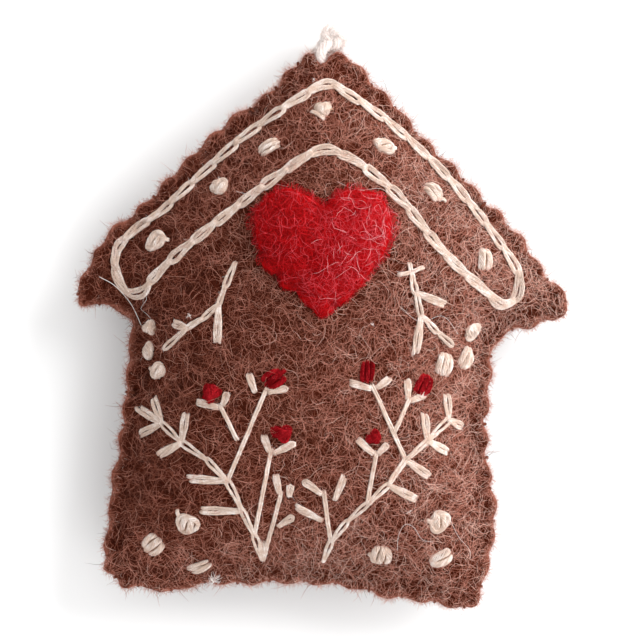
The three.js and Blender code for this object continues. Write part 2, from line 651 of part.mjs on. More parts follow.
// A run of chain stitch as one flat strip, drawn in at every joint, with a slit inside each link. A link's
// own points are its left and right joint, its four shoulders and the four corners of its slit.
function chainStrip(joints, closed, width) {
  const links = closed ? joints.length : joints.length - 1;
  const joint = (i) => new THREE.Vector2(...joints[(i + joints.length) % joints.length]);
  const across = (i) => {
    const along = joint(i + 1).sub(joint(i)).normalize();
    return new THREE.Vector2(-along.y, along.x);
  };
  const bisector = (i) => {
    const before = closed || i > 0 ? across(i - 1) : across(i);
    const after = closed || i < links ? across(i) : across(i - 1);
    return before.add(after).normalize();
  };
  const points = [];
  for (let i = 0; i < (closed ? links : links + 1); i++) {
    const pinch = bisector(i).multiplyScalar(CHAIN_JOINT / 2);
    points.push(joint(i).add(pinch), joint(i).sub(pinch));
    if (i < links) {
      const on = (share, reach) => joint(i).lerp(joint(i + 1), share).addScaledVector(across(i), reach);
      points.push(on(LINK_SHOULDER, width / 2), on(LINK_SHOULDER, -width / 2));
      points.push(on(1 - LINK_SHOULDER, width / 2), on(1 - LINK_SHOULDER, -width / 2));
      points.push(on(SLIT_END, 0), on(0.5, width / 2 - CHAIN_STRAND));
      points.push(on(1 - SLIT_END, 0), on(0.5, CHAIN_STRAND - width / 2));
    }
  }
  const faces = [];
  const walls = [];
  for (let i = 0; i < links; i++) {
    const [left, right, leftA, rightA, leftB, rightB, ...slit] = linkCorners(i * LINK_POINTS);
    const [slitA, slitL, slitB, slitR] = slit;
    const nextLeft = ((i + 1) * LINK_POINTS) % points.length;
    const nextRight = nextLeft + 1;
    faces.push([left, right, slitA], [left, slitA, leftA], [leftA, slitA, slitL], [leftA, slitL, leftB]);
    faces.push([leftB, slitL, slitB], [leftB, slitB, nextLeft], [slitB, nextRight, nextLeft]);
    faces.push([right, rightA, slitA], [rightA, slitR, slitA], [rightA, rightB, slitR]);
    faces.push([rightB, slitB, slitR], [rightB, nextRight, slitB]);
    walls.push([right, rightA], [rightA, rightB], [rightB, nextRight]);
    walls.push([nextLeft, leftB], [leftB, leftA], [leftA, left]);
    walls.push([slitA, slitL], [slitL, slitB], [slitB, slitR], [slitR, slitA]);
  }
  if (!closed) {
    walls.push([0, 1], [points.length - 1, points.length - 2]);
  }
  return raisedStrip(points, faces, walls);
}

function linkCorners(first) {
  return Array.from({ length: LINK_POINTS }, (_, i) => first + i);
}

// A flat strip, one strand of floss thick, from plan triangles and the plan edges that bound them.
function raisedStrip(points, faces, walls) {
  const count = points.length;
  const positions = [0, FLOSS].flatMap((z) => points.flatMap(({ x, y }) => [x, y, z]));
  const triangles = faces.flatMap(([a, b, c]) => [a + count, b + count, c + count, a, c, b]);
  walls.forEach(([a, b]) => triangles.push(a, b, b + count, a, b + count, a + count));
  return closedGeometry(positions, triangles);
}

function straightStitch(start, end, width) {
  const length = span(start, end);
  const steps = Math.ceil(length / STALK_STEP);
  const strand = new THREE.CapsuleGeometry(FLOSS / 2, length - FLOSS / 2, 1, FLOSS_SIDES, steps);
  strand.rotateZ(-Math.PI / 2);
  strand.scale(1, width / FLOSS, 1);
  strand.translate(length / 2, 0, FLOSS / 2);
  return place(strand, start, end);
}

function stalkStitches(start, { angle, length, bracts, branch }) {
  const tip = from(start, ...heading(angle, length));
  const stitches = [straightStitch(start, tip, STALK_WIDTH)];
  const neck = from(start, ...heading(angle, length - FLOSS));
  bracts.forEach(([turn, reach]) => {
    stitches.push(straightStitch(neck, from(neck, ...heading(turn, reach)), BRACT_WIDTH));
  });
  if (branch) {
    const fork = from(start, ...heading(angle, length * branch.share));
    stitches.push(...stalkStitches(fork, branch));
  }
  return stitches;
}

function sprig(anchor, { stem, leaves, stalks }) {
  const joints = stem.map((offset) => from(anchor, ...offset));
  const stitches = [chainStrip(joints, false, CHAIN_WIDTH)];
  leaves.forEach(([joint, angle, length]) => {
    const tip = from(joints[joint], ...heading(angle, length));
    stitches.push(chainStrip([joints[joint], tip], false, LEAF_WIDTH));
  });
  stalks.forEach((stalk) => stitches.push(...stalkStitches(joints[stalk.on], stalk)));
  return laidOnFront(joined(stitches), LAY_GAP);
}

function frenchKnot([x, y], radius, height) {
  const outline = KNOT_PROFILE.map(([across, up]) => new THREE.Vector2(across * radius, up * height));
  const button = new THREE.LatheGeometry(outline, BUTTON_SIDES);
  button.rotateX(Math.PI / 2);
  return laidOnFront(geometryOf(solidOf(button.translate(x, y, 0))), LAY_GAP);
}

function addKnots(name, places) {
  places.forEach((at, i) => add(`${name}_${i + 1}`, frenchKnot(at, KNOT_RADIUS, KNOT_HEIGHT), creamFloss));
}

function addBerries(name, offsets) {
  offsets.forEach((offset, i) => {
    const berry = frenchKnot(from(baseMiddle, ...offset), BERRY_RADIUS, BERRY_HEIGHT);
    add(`${name}_${i + 1}`, berry, redFloss);
  });
}

function addBracts(name, bracts) {
  bracts.forEach(([right, up, angle, length], i) => {
    const start = from(baseMiddle, right, up);
    const stitch = straightStitch(start, from(start, ...heading(angle, length)), BRACT_WIDTH);
    add(`${name}_${i + 1}`, laidOnFront(geometryOf(solidOf(stitch)), LAY_GAP), creamFloss);
  });
}

// Roof band: a closed run of chain stitch with French knots inside it
const bandPath = roundedPath(ROOF_BAND);
const bandLinks = Math.round(bandPath.getLength() / CHAIN_PITCH);
const bandPoints = bandPath.getSpacedPoints(bandLinks).slice(0, bandLinks).map(({ x, y }) => [x, y]);
const roofChain = chainStrip(bandPoints, true, CHAIN_WIDTH);
add("roof_chain_stitch", laidOnFront(geometryOf(solidOf(roofChain)), LAY_GAP), creamFloss);

function alongRoof(eave, inwardSide) {
  const slope = new THREE.Vector2(...peak).sub(new THREE.Vector2(...eave));
  const inward = new THREE.Vector2(slope.y, -slope.x).normalize().multiplyScalar(inwardSide);
  return ([share, inset]) => {
    const shift = slope.clone().multiplyScalar(share).addScaledVector(inward, inset);
    return from(eave, shift.x, shift.y);
  };
}

const roofKnots = [
  ...LEFT_ROOF_KNOTS.map(alongRoof(leftEave, 1)),
  from(peak, 0, -PEAK_KNOT_DROP),
  ...RIGHT_ROOF_KNOTS.map(alongRoof(rightEave, -1)).reverse(),
];
addKnots("roof_knot", roofKnots);
addKnots("left_wall_knot", LEFT_WALL_KNOTS.map((offset) => from(leftWallTop, ...offset)));
addKnots("right_wall_knot", RIGHT_WALL_KNOTS.map((offset) => from(rightWallTop, ...offset)));
addKnots("left_foot_knot", LEFT_FOOT_KNOTS.map((offset) => from(leftFoot, ...offset)));
addKnots("right_foot_knot", RIGHT_FOOT_KNOTS.map((offset) => from(rightFoot, ...offset)));

// Sprigs and their berries
add("left_gable_sprig", sprig(peak, LEFT_GABLE_SPRIG), creamFloss);
add("right_gable_sprig", sprig(peak, RIGHT_GABLE_SPRIG), creamFloss);
add("left_sprig", sprig(baseMiddle, LEFT_SPRIG), creamFloss);
add("right_sprig", sprig(baseMiddle, RIGHT_SPRIG), creamFloss);
const twigStart = from(baseMiddle, ...LEFT_TWIG.start);
add("left_twig", laidOnFront(joined(stalkStitches(twigStart, LEFT_TWIG)), LAY_GAP), creamFloss);
addBracts("left_bract", LEFT_BRACTS);
addBracts("right_bract", RIGHT_BRACTS);
addBerries("left_berry", LEFT_BERRIES);
addBerries("right_berry", RIGHT_BERRIES);

// Hanger: the tucked end, the knot and the free loop
add("hanger_tail", geometryOf(solidOf(cordAlong(tailRoute, CORD / 2, TAIL_STEPS))), creamCord);

function overhandKnot() {
  const lobes = [];
  for (let i = 0; i < KNOT_LOBES; i++) {
    const lobe = new THREE.TorusGeometry(KNOT_LOBE, CORD / 2 - SEAM_GAP / 2, KNOT_SIDES, KNOT_STEPS);
    lobe.rotateX(KNOT_TILT);
    lobe.translate(KNOT_LOBE / 2, 0, 0);
    lobe.rotateZ((2 * Math.PI * i) / KNOT_LOBES);
    lobes.push(lobe);
  }
  return joined(lobes).translate(...knotCentre.toArray());
}

add("hanger_knot", overhandKnot(), creamCord);
const loopRoute = HANGER_ROUTE.map((point) => new THREE.Vector3(...point));
add("hanger_loop", geometryOf(solidOf(cordAlong(loopRoute, CORD / 2, CORD_STEPS))), creamCord);

export default ornament;
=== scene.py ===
"""A stuffed felt house ornament: whip-stitched wool felt, a felt heart, floss embroidery and a cord."""

import math

import bmesh
import bpy
import numpy as np
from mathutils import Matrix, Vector, noise
from mathutils.bvhtree import BVHTree
from mathutils.kdtree import KDTree


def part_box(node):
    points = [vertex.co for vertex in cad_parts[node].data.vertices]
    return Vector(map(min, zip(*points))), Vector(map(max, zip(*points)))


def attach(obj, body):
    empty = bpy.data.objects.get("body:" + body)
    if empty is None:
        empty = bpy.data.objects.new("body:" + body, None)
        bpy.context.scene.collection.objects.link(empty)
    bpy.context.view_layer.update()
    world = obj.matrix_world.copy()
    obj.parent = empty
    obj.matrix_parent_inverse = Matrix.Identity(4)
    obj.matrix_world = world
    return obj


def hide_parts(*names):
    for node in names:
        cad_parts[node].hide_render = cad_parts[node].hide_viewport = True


bl_info = {
    "name": "Felt House Ornament",
    "version": (1, 0, 0),
    "blender": (4, 5, 0),
    "location": "View3D > Sidebar > Ornament",
    "description": "Dresses a felt house ornament in felt, floss, cord and loose wool fibres",
    "category": "Object",
}

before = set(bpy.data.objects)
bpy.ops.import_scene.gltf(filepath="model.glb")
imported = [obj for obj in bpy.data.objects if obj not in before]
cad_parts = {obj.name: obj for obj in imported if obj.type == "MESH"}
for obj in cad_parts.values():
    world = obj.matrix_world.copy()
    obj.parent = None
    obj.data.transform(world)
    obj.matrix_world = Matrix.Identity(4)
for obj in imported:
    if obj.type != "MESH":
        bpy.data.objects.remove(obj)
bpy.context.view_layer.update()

MM = 0.001
TAU = 2 * math.pi
DOWN = Vector((0, 0, -1))
WELD = 1e-6
RAY_START = 0.1
BLACK = (0, 0, 0, 1)
BUMP_HEIGHT = 0.0003

# Places on the house, in millimetres: +X to its right, +Y to its peak
PEAK = (0.7, 49.7)
BASE_MIDDLE = (-4.8, -49.7)
SEAM_LEVEL = 11.15
FLANGE_LEVEL = 13.3
FLANGE = 3.2
FELT = 2.0
FLOSS_WIDTH = 0.84

# Closed run of chain stitch on the roof
ROOF_BAND = [
    (-36.0, 10.8), (-35.4, 14.7), (-32.0, 17.9), (-28.0, 20.5), (-20.5, 27.4), (-12.3, 34.5), (-2.5, 41.2),
    (1.6, 43.4), (4.2, 42.0), (12.6, 36.2), (21.5, 28.1), (28.5, 19.7), (34.3, 11.5), (35.4, 8.7),
    (35.1, 5.9), (32.8, 4.2), (29.1, 6.8), (21.7, 13.5), (14.3, 22.7), (8.0, 28.2), (4.7, 30.2),
    (0.4, 31.4), (-5.0, 28.3), (-13.8, 21.8), (-20.7, 16.4), (-26.6, 11.4), (-30.0, 7.9), (-31.7, 6.0),
    (-33.2, 6.2), (-35.0, 7.8),
]

# French knots: place, length, width, turn in degrees and how the floss lies. Some have a loose end, whose two
# points are set out from the knot.
ROOF_KNOTS = [
    (-28.7, 15.4, 4.2, 3.5, 40, "ring", ((1.3, 0.1), (2.3, 0.3))),
    (-17.4, 24.9, 3.5, 3.1, 15, "ring"),
    (-8.7, 31.9, 4.0, 2.4, 30, "bars"),
    (0.8, 38.7, 3.3, 2.9, 35, "clump", ((-2.2, -0.3), (0.2, -1.8))),
    (11.4, 32.1, 4.2, 3.0, 150, "ring", ((1.3, -0.3), (2.2, -0.2))),
    (20.1, 24.0, 3.5, 3.1, 118, "bars", ((1.0, -1.0), (2.4, -1.6))),
    (29.2, 12.2, 3.9, 2.8, 86, "pair"),
]
LEFT_WALL_KNOTS = [
    (-29.7, 0.3, 3.2, 2.8, 20, "clump"),
    (-30.0, -4.0, 3.3, 2.9, 70, "ring"),
    (-28.2, -7.5, 3.4, 3.1, 10, "ring", ((-1.8, 0.5), (-0.8, 0.2))),
]
RIGHT_WALL_KNOTS = [
    (26.9, -0.4, 3.6, 3.0, 65, "ring"),
    (25.8, -5.2, 3.6, 3.5, 55, "bars"),
    (21.9, -6.3, 3.8, 3.5, 75, "bars"),
]
LEFT_FOOT_KNOTS = [
    (-23.1, -34.3, 4.3, 3.9, 0, "ring", ((-1.9, 2.5), (-1.2, 0.5))),
    (-29.3, -38.2, 4.0, 3.8, 35, "bars"),
    (-21.3, -42.0, 4.3, 2.4, 25, "bars"),
]
RIGHT_FOOT_KNOTS = [
    (21.1, -34.0, 4.2, 3.8, 60, "ring", ((-2.2, 0.2), (-1.0, 0.0))),
    (11.0, -39.9, 4.0, 3.8, 82, "bars", ((-2.2, 0.3), (-1.2, -0.4))),
    (21.5, -40.6, 4.0, 2.9, 25, "pair"),
]
LEFT_BERRIES = [
    (-18.8, -11.4, 3.7, 3.4, 60, "clump"),
    (-7.8, -8.8, 3.6, 3.3, 40, "bars", ((1.0, 0.9), (2.0, 1.6))),
    (-6.5, -18.2, 3.8, 3.0, 170, "clump"),
]
RIGHT_BERRIES = [
    (8.4, -7.5, 3.7, 2.5, 95, "bars"),
    (18.2, -10.0, 4.1, 3.1, 65, "bars"),
    (9.5, -19.0, 2.8, 2.6, 20, "clump"),
]

# A sprig is a chain-stitched stem set out from its anchor. A leaf stands on one of the stem's points: its
# number, the leaf's angle in degrees and its length. So does a stalk, which ends in bracts and may branch.
LEFT_SPRIG = {
    "stem": [
        (-5.1, 8.8), (-6.6, 13.3), (-8.6, 17.8), (-11.2, 23.0), (-14.7, 26.7), (-19.2, 29.6), (-22.7, 32.9),
    ],
    "leaves": [
        (0, 92, 3.4), (6, 109, 4.8), (6, 148, 5.3), (6, 206, 4.5), (5, 82, 5.3), (5, 209, 5.0), (3, 177, 7.1),
        (2, 180, 7.4),
    ],
    "stalks": [
        {"on": 3, "angle": 67, "length": 17.7, "bracts": [(6, 3.9)]},
        {"on": 1, "angle": 78.6, "length": 15.5, "bracts": [(113, 3.3), (21, 4.7)]},
        {"on": 0, "angle": 75, "length": 12.7, "bracts": [(104, 3.5)]},
    ],
}
RIGHT_SPRIG = {
    "stem": [
        (5.5, 8.5), (6.9, 12.2), (9.6, 15.8), (13.2, 18.9), (16.8, 22.3), (19.9, 26.7), (23.7, 30.0),
        (27.5, 33.6),
    ],
    "leaves": [(7, 94, 4.7), (7, -28, 3), (6, 96, 4.6), (6, -30, 4.3), (5, -36, 5.3), (4, -27, 5.7)],
    "stalks": [
        {
            "on": 5, "angle": 114, "length": 14.3, "bracts": [(167, 4.2), (30, 3.4)],
            "branch": {"share": 0.35, "angle": 66, "length": 6.9, "bracts": [(95, 3.5), (19, 3.4)]},
        },
        {"on": 3, "angle": 80, "length": 9.4, "bracts": [(141, 4.3), (41, 2.8)]},
        {"on": 1, "angle": 98, "length": 9.1, "bracts": [(147, 4.5)]},
    ],
}
LEFT_TWIG = {"angle": 116, "length": 7.0, "bracts": [(170, 4.4), (62, 2.8)]}
LEFT_TWIG_START = (-9.5, 30.2)
LEFT_GABLE_SPRIG = {
    "stem": [(-15.2, -38.1), (-17.0, -42.0), (-18.2, -45.4), (-20.8, -47.8), (-23.7, -49.6), (-27.7, -53.1)],
    "leaves": [(2, 268, 6.6), (4, 160, 2.9)],
    "stalks": [],
}
RIGHT_GABLE_SPRIG = {
    "stem": [(15.4, -39.8), (16.1, -43.3), (17.1, -47.3), (19.8, -50.1), (22.5, -52.5)],
    "leaves": [(1, -22, 5.7), (2, 262, 6.7)],
    "stalks": [
        {"on": 0, "angle": 192, "length": 2.4, "bracts": []},
        {"on": 0, "angle": 21, "length": 2.6, "bracts": []},
        {"on": 0, "angle": 100, "length": 1.8, "bracts": []},
    ],
}

# Single bracts: start, angle and length
LEFT_BRACTS = [(-6.3, 38.5, 109, 3.4), (-0.4, 20.2, 85, 2.4), (-2.5, 14.9, 33, 3.6)]
RIGHT_BRACTS = [(7.5, 19.6, 68, 4.7), (5.5, 16.0, 152, 5.4)]

# The hanger's knot, its end over the front's edge, and its loop: down from the knot, along the table under
# the left roof slope and back
HANGER_KNOT = (2.5, 51.7, SEAM_LEVEL)
HANGER_END = [(0.4, 47.5, 12.2), (0.4, 49.0, 13.0), (1.5, 50.6, 12.4)]
HANGER_ROUTE = [
    (1.7, 52.5, 9.6), (1.7, 52.5, 7), (1.7, 52.5, 4.7), (1, 51.7, 2.1), (-0.8, 49.8, 1.1), (-5.5, 45.5, 1.1),
    (-12.7, 38.6, 1.1), (-19.9, 31.7, 1.1), (-28.4, 23.2, 1.1), (-29.4, 20.4, 1.1), (-28.2, 17.8, 1.1),
    (-25.4, 16.8, 1.1), (-22.8, 18, 1.1), (-15.6, 27.6, 1.1), (-9.5, 35.7, 1.1), (-3.3, 43.5, 1.1),
    (0.8, 48.2, 1.1), (2.6, 50.1, 2.1), (3.3, 50.9, 4.7), (3.3, 50.9, 7), (3.3, 50.9, 9.6),
]
CORD_DIAMETER = 0.0018

# Where the cut edge strays from its pattern: place, shift and reach. It fades out towards the middle.
STRAY_DEPTH = 7
EDGE_STRAYS = [
    ((-10.0, 42.5), (0.85, -0.85), 8.0), ((-38.0, 16.0), (-1.0, 1.0), 6.0), ((-43.0, 5.1), (-0.5, -0.7), 2.5),
    ((-43.0, 8.3), (0.6, 0.0), 2.0), ((-36.2, 2.9), (0.0, 0.9), 3.0), ((-34.2, -2.0), (0.4, 0.0), 5.0),
    ((-37.3, -31.3), (-0.6, 0.0), 6.0), ((-36.9, -44.8), (0.6, 0.6), 2.5), ((-37.6, -40.2), (-0.7, 0.0), 4.0),
    ((-26.2, -46.6), (0.0, -1.5), 4.0),
    ((-14.1, -45.5), (0.0, -0.7), 6.0), ((12.0, -47.0), (0.0, -1.2), 6.0), ((21.0, -48.8), (0.0, -0.8), 4.0),
    ((27.5, -49.1), (0.0, -1.1), 3.0), ((31.0, -34.8), (0.9, 0.0), 5.0), ((30.5, -10.0), (0.6, 0.0), 8.0),
    ((43.3, 4.4), (2.0, -0.6), 2.5), ((43.0, 7.8), (-1.0, -0.3), 2.5), ((39.4, 11.5), (-0.6, -0.6), 3.0),
    ((40.8, 1.5), (0.0, -0.6), 4.0), ((20.1, 33.6), (-0.5, -0.5), 5.0),
]

# How far the thread draws the rim in on the right roof slope, and how far the rim fills out elsewhere
ROOF_DRAW = -0.12
EDGE_FILL = 0.08

# Bits of white lint: place and size
LINT = [(-18.9, -44.8, 1.4), (-22.9, 2.3, 0.5), (9.4, 0.7, 0.35), (15.8, -32.2, 0.4), (-0.9, 44.2, 0.35)]

# Long pale hairs on the front: points in plan
STRAY_HAIRS = [
    [(-39.0, 9.2), (-36.2, 7.6), (-33.4, 4.4), (-31.6, 0.6)],
    [(-14.6, 24.2), (-11.0, 23.4), (-8.6, 25.4), (-5.4, 24.9)],
    [(3.2, 25.8), (6.8, 24.3), (10.9, 24.6), (13.2, 22.6)],
    [(13.8, -39.2), (14.0, -36.5), (15.1, -34.5), (16.7, -35.0), (18.2, -37.2), (20.2, -37.7)],
    [(23.1, -33.6), (24.7, -36.8), (26.7, -39.2), (26.8, -40.8)],
    [(14.4, 3.6), (17.8, 1.2), (21.8, 2.2), (24.6, -1.0)],
    [(-30.9, 6.5), (-30.5, 5.2), (-31.6, 3.6), (-30.8, 2.8), (-29.8, 1.8)],
]


def paint(code):
    """Linear RGBA from a six-digit sRGB colour code."""
    channels = [(code >> shift & 255) / 255 for shift in (16, 8, 0)]
    linear = [c / 12.92 if c <= 0.04045 else ((c + 0.055) / 1.055) ** 2.4 for c in channels]
    return (*linear, 1.0)


def colour(label, code, words):
    """A colour property with its default as an sRGB code."""
    return bpy.props.FloatVectorProperty(
        name=label, description=words, default=paint(code), subtype="COLOR", size=4, min=0, max=1
    )


def length(label, millimetres, words):
    """A length property with its default in millimetres."""
    return bpy.props.FloatProperty(
        name=label, description=words, default=millimetres * MM, min=0, unit="LENGTH", precision=5
    )


def number_of(label, default, words):
    """A whole-number property."""
    return bpy.props.IntProperty(name=label, description=words, default=default, min=1)


def amount(label, default, words):
    """A plain number property."""
    return bpy.props.FloatProperty(name=label, description=words, default=default, min=0)


class FeltSettings(bpy.types.PropertyGroup):
    """Wool felt, its loose fibres and how it is stuffed."""

    # The brown felt's two colours are its own brown made darker than its loose fibres: partly painted shade
    # for the gaps deep between the fibres.
    brown_shaded_deep: colour("Brown, deep", 0x220A05, "Brown felt between its fibres")
    brown_shaded_full: colour("Brown, full", 0x4C2014, "Brown felt where its fibres show")
    # Painted light: the cut edge is paler, for light that comes through the fuzz there.
    brown_lit_edge: colour("Brown, edge", 0xA56857, "Brown felt at its cut edge")
    red_deep: colour("Red, deep", 0x70030A, "Red felt between its fibres")
    red_full: colour("Red, full", 0xBA0F12, "Red felt where its fibres show")
    wool_white: colour("Filling", 0xF2EEE6, "Wool filling")
    panel_grain: length("Panel grain", 0.6, "Mesh size of the front panel")
    back_grain: length("Back grain", 0.72, "Mesh size of the back panel")
    heart_grain: length("Heart grain", 0.42, "Mesh size of the heart")
    casing_grain: length("Casing grain", 3.0, "Mesh size of the bag that the filling swells")
    swell_limit: length("Swell limit", 2.5, "How far the filling may push the felt")
    fibre_width: length("Fibre width", 0.062, "Width of a loose wool fibre")
    fibre_length: length("Fibre length", 3.7, "Usual length of a loose wool fibre")
    front_fibres: number_of("Front fibres", 25200, "Loose fibres on the front")
    back_fibres: number_of("Back fibres", 4600, "Loose fibres on the back")
    edge_fibres: number_of("Edge fibres", 18800, "Loose fibres on the edge")
    heart_fibres: number_of("Heart fibres", 4200, "Loose fibres on the heart")


class FlossSettings(bpy.types.PropertyGroup):
    """Stranded embroidery floss, sewing thread and hanging cord."""

    cream: colour("Cream", 0xFAF1EC, "Cream floss")
    cream_shade: colour("Cream, shaded", 0xDABFAE, "Cream floss between its strands")
    # Painted shade: floss deep in a knot's creases takes this darker colour
    cream_knot_shade: colour("Cream, creases", 0xB8977F, "Cream floss deep in a knot")
    red: colour("Red", 0xC0262E, "Red floss")
    red_shade: colour("Red, shaded", 0x760D12, "Red floss between its strands")
    thread: colour("Thread", 0x7A4636, "Sewing thread round the edge")
    thread_shade: colour("Thread, shaded", 0x5A3024, "Sewing thread between its plies")
    cord: colour("Cord", 0xFFF7F3, "Hanging cord")
    cord_shade: colour("Cord, shaded", 0xF4E6E0, "Hanging cord between its plies")
    strand: length("Strand", 0.24, "Width of one strand of floss")
    floss_width: length("Floss width", FLOSS_WIDTH, "Width of a floss thread on the felt")
    floss_height: length("Floss height", 0.52, "Height of a floss thread on the felt")
    strands: number_of("Strands", 7, "Strands in a floss thread")
    twist: length("Twist", 9.0, "Length of floss in which its strands turn once")
    link_pitch: length("Link pitch", 5.2, "Length of a chain stitch on the roof")


class StageSettings(bpy.types.PropertyGroup):
    """Camera, lights and floor."""

    lens: amount("Lens", 250, "Focal length in millimetres")
    frame_width: length("Frame width", 114.1, "Width of the picture at the seam")
    frame_x: length("Frame middle, right", 0.18, "Middle of the picture, to the right of the origin")
    frame_y: length("Frame middle, up", 1.52, "Middle of the picture, above the origin")
    key_power: amount("Key light", 3.9, "Watts")
    fill_power: amount("Fill light", 1.2, "Watts")
    left_power: amount("Left light", 0.3, "Watts")
    sky: amount("Sky", 0.78, "Strength of the even light")
    floor: colour("Floor", 0xFAFAFA, "Plain floor")


def felt_settings():
    return bpy.context.scene.ornament_felt


def floss_settings():
    return bpy.context.scene.ornament_floss


def stage_settings():
    return bpy.context.scene.ornament_stage


# Meshes


def new_piece(name, mesh):
    """A linked object with that mesh, shaded smooth."""
    piece = bpy.data.objects.new(name, mesh)
    bpy.context.scene.collection.objects.link(piece)
    mesh.shade_smooth()
    return piece


def settle(piece):
    """Makes a piece's modifiers part of its mesh."""
    graph = bpy.context.evaluated_depsgraph_get()
    mesh = bpy.data.meshes.new_from_object(piece.evaluated_get(graph))
    piece.modifiers.clear()
    piece.data = mesh
    mesh.name = piece.name
    mesh.shade_smooth()


def copy_of_nodes(name, *nodes):
    """One mesh object that holds copies of CAD nodes, with their corners merged."""
    bm = bmesh.new()
    for node in nodes:
        bm.from_mesh(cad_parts[node].data)
    bmesh.ops.remove_doubles(bm, verts=bm.verts, dist=WELD)
    mesh = bpy.data.meshes.new(name)
    bm.to_mesh(mesh)
    bm.free()
    return new_piece(name, mesh)


def remesh(piece, size):
    """Gives a piece even square faces of that size."""
    grid = piece.modifiers.new("Even faces", "REMESH")
    grid.mode = "VOXEL"
    grid.voxel_size = size
    settle(piece)


def points_of(mesh):
    """A mesh's points and their normals, in millimetres."""
    places = np.empty(len(mesh.vertices) * 3)
    mesh.vertices.foreach_get("co", places)
    normals = np.empty(len(mesh.vertices) * 3)
    mesh.vertex_normals.foreach_get("vector", normals)
    return places.reshape(-1, 3) / MM, normals.reshape(-1, 3)


def set_points(mesh, places):
    mesh.vertices.foreach_set("co", (places * MM).ravel())
    mesh.update()


def relax(piece, rounds):
    """Smooths a piece's mesh."""
    axes = {f"use_axis_{axis}": True for axis in "xyz"}
    bm = bmesh.new()
    bm.from_mesh(piece.data)
    for _ in range(rounds):
        bmesh.ops.smooth_vert(bm, verts=bm.verts, factor=0.5, **axes)
    bm.to_mesh(piece.data)
    bm.free()
    piece.data.shade_smooth()


def lumps(places, size, seed):
    """Smooth noise at each point, from about -1 to 1, with features of that size in millimetres."""
    shift = Vector((seed * 7.3, seed * 3.1, seed * 5.7))
    return np.array([noise.noise(Vector(place) / size + shift) for place in places])


def falloff(gaps, reach):
    """1 at a spot, and less with the distance from it."""
    return np.exp(-((gaps / reach) ** 2))


def numbered(name, rows):
    """A name with the number of each row after it."""
    return [f"{name}_{number + 1}" for number in range(len(rows))]


def finished(piece, body, slot, material, *nodes):
    """Puts a finished piece on its body in place of its CAD nodes."""
    if material is not None:
        piece.data.materials.clear()
        piece.data.materials.append(material)
    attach(piece, body)
    if nodes:
        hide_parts(*nodes)


class HeightField:
    """Heights of a piece's upper side over an even grid, in millimetres. Past its edge they fall away."""

    def __init__(self, piece, step, fall):
        tree = BVHTree.FromObject(piece, bpy.context.evaluated_depsgraph_get())
        places, _ = points_of(piece.data)
        margin = 8 * step
        low, high = places.min(0) - margin, places.max(0) + margin
        self.low, self.step = low[:2], step
        columns, rows = np.ceil((high - low)[:2] / step).astype(int) + 1
        top = high[2] * MM
        heights = np.full((rows, columns), np.nan)
        for row in range(rows):
            for column in range(columns):
                x, y = self.low + np.array([column, row]) * step
                hit = tree.ray_cast(Vector((x * MM, y * MM, top)), DOWN)[0]
                if hit:
                    heights[row, column] = hit.z / MM
        self.inside = ~np.isnan(heights)
        while np.isnan(heights).any():
            bare = np.isnan(heights)
            padded = np.pad(heights, 1, constant_values=np.nan)
            near = np.stack([padded[:-2, 1:-1], padded[2:, 1:-1], padded[1:-1, :-2], padded[1:-1, 2:]])
            known = ~np.isnan(near)
            counts = known.sum(0)
            edge = bare & (counts > 0)
            heights[edge] = np.where(known, near, 0).sum(0)[edge] / counts[edge] - fall * step
        self.heights = heights

    def grid(self, x, y):
        column = np.clip((np.asarray(x) - self.low[0]) / self.step, 0, self.heights.shape[1] - 1.001)
        row = np.clip((np.asarray(y) - self.low[1]) / self.step, 0, self.heights.shape[0] - 1.001)
        return column, row

    def __call__(self, x, y):
        column, row = self.grid(x, y)
        left, below = column.astype(int), row.astype(int)
        right, up = column - left, row - below
        grid = self.heights
        lower = grid[below, left] * (1 - right) + grid[below, left + 1] * right
        upper = grid[below + 1, left] * (1 - right) + grid[below + 1, left + 1] * right
        return lower * (1 - up) + upper * up

    def holds(self, x, y):
        """True where the piece lies under that place."""
        column, row = self.grid(x, y)
        return self.inside[row.round().astype(int), column.round().astype(int)]

    def normals(self, x, y):
        reach = self.step
        slope_x = (self(x + reach, y) - self(x - reach, y)) / (2 * reach)
        slope_y = (self(x, y + reach) - self(x, y - reach)) / (2 * reach)
        normals = np.stack([-slope_x, -slope_y, np.ones_like(slope_x)], axis=-1)
        return normals / np.linalg.norm(normals, axis=-1, keepdims=True)


# Lines


def spans(line):
    """Distance along a line at each of its points."""
    steps = np.linalg.norm(np.diff(line, axis=0), axis=1)
    return np.concatenate([[0], np.cumsum(steps)])


def smooth_line(points, step, closed=False):
    """Points at even steps on a smooth line through the given ones."""
    points = np.asarray(points, float)
    if closed:
        held = np.concatenate([points[-1:], points, points[:2]])
    else:
        held = np.concatenate([[2 * points[0] - points[1]], points, [2 * points[-1] - points[-2]]])
    share = np.linspace(0, 1, 12, endpoint=False)[:, None]
    fine = []
    for before, start, end, after in zip(held, held[1:], held[2:], held[3:]):
        bend = 2 * before - 5 * start + 4 * end - after
        swing = 3 * (start - end) + after - before
        fine.append(0.5 * (2 * start + (end - before) * share + bend * share**2 + swing * share**3))
    fine = np.concatenate([*fine, held[-2:-1]])
    along = spans(fine)
    count = max(3, int(round(along[-1] / step)) + 1)
    places = np.linspace(0, along[-1], count)
    return np.stack([np.interp(places, along, axis) for axis in fine.T], axis=1)


def turned(degrees, reach):
    """A step of that length at an angle."""
    angle = math.radians(degrees)
    return np.array([reach * math.cos(angle), reach * math.sin(angle)])


def aim(start, end):
    """Distance between two points in plan, the direction from one to the other and the one to its left."""
    reach = np.linalg.norm(end - start)
    along = (end - start) / reach
    return reach, along, np.array([-along[1], along[0]])


def rotated(along, across, angle):
    """Two coordinates, turned by an angle."""
    cosine, sine = math.cos(angle), math.sin(angle)
    return along * cosine - across * sine, along * sine + across * cosine


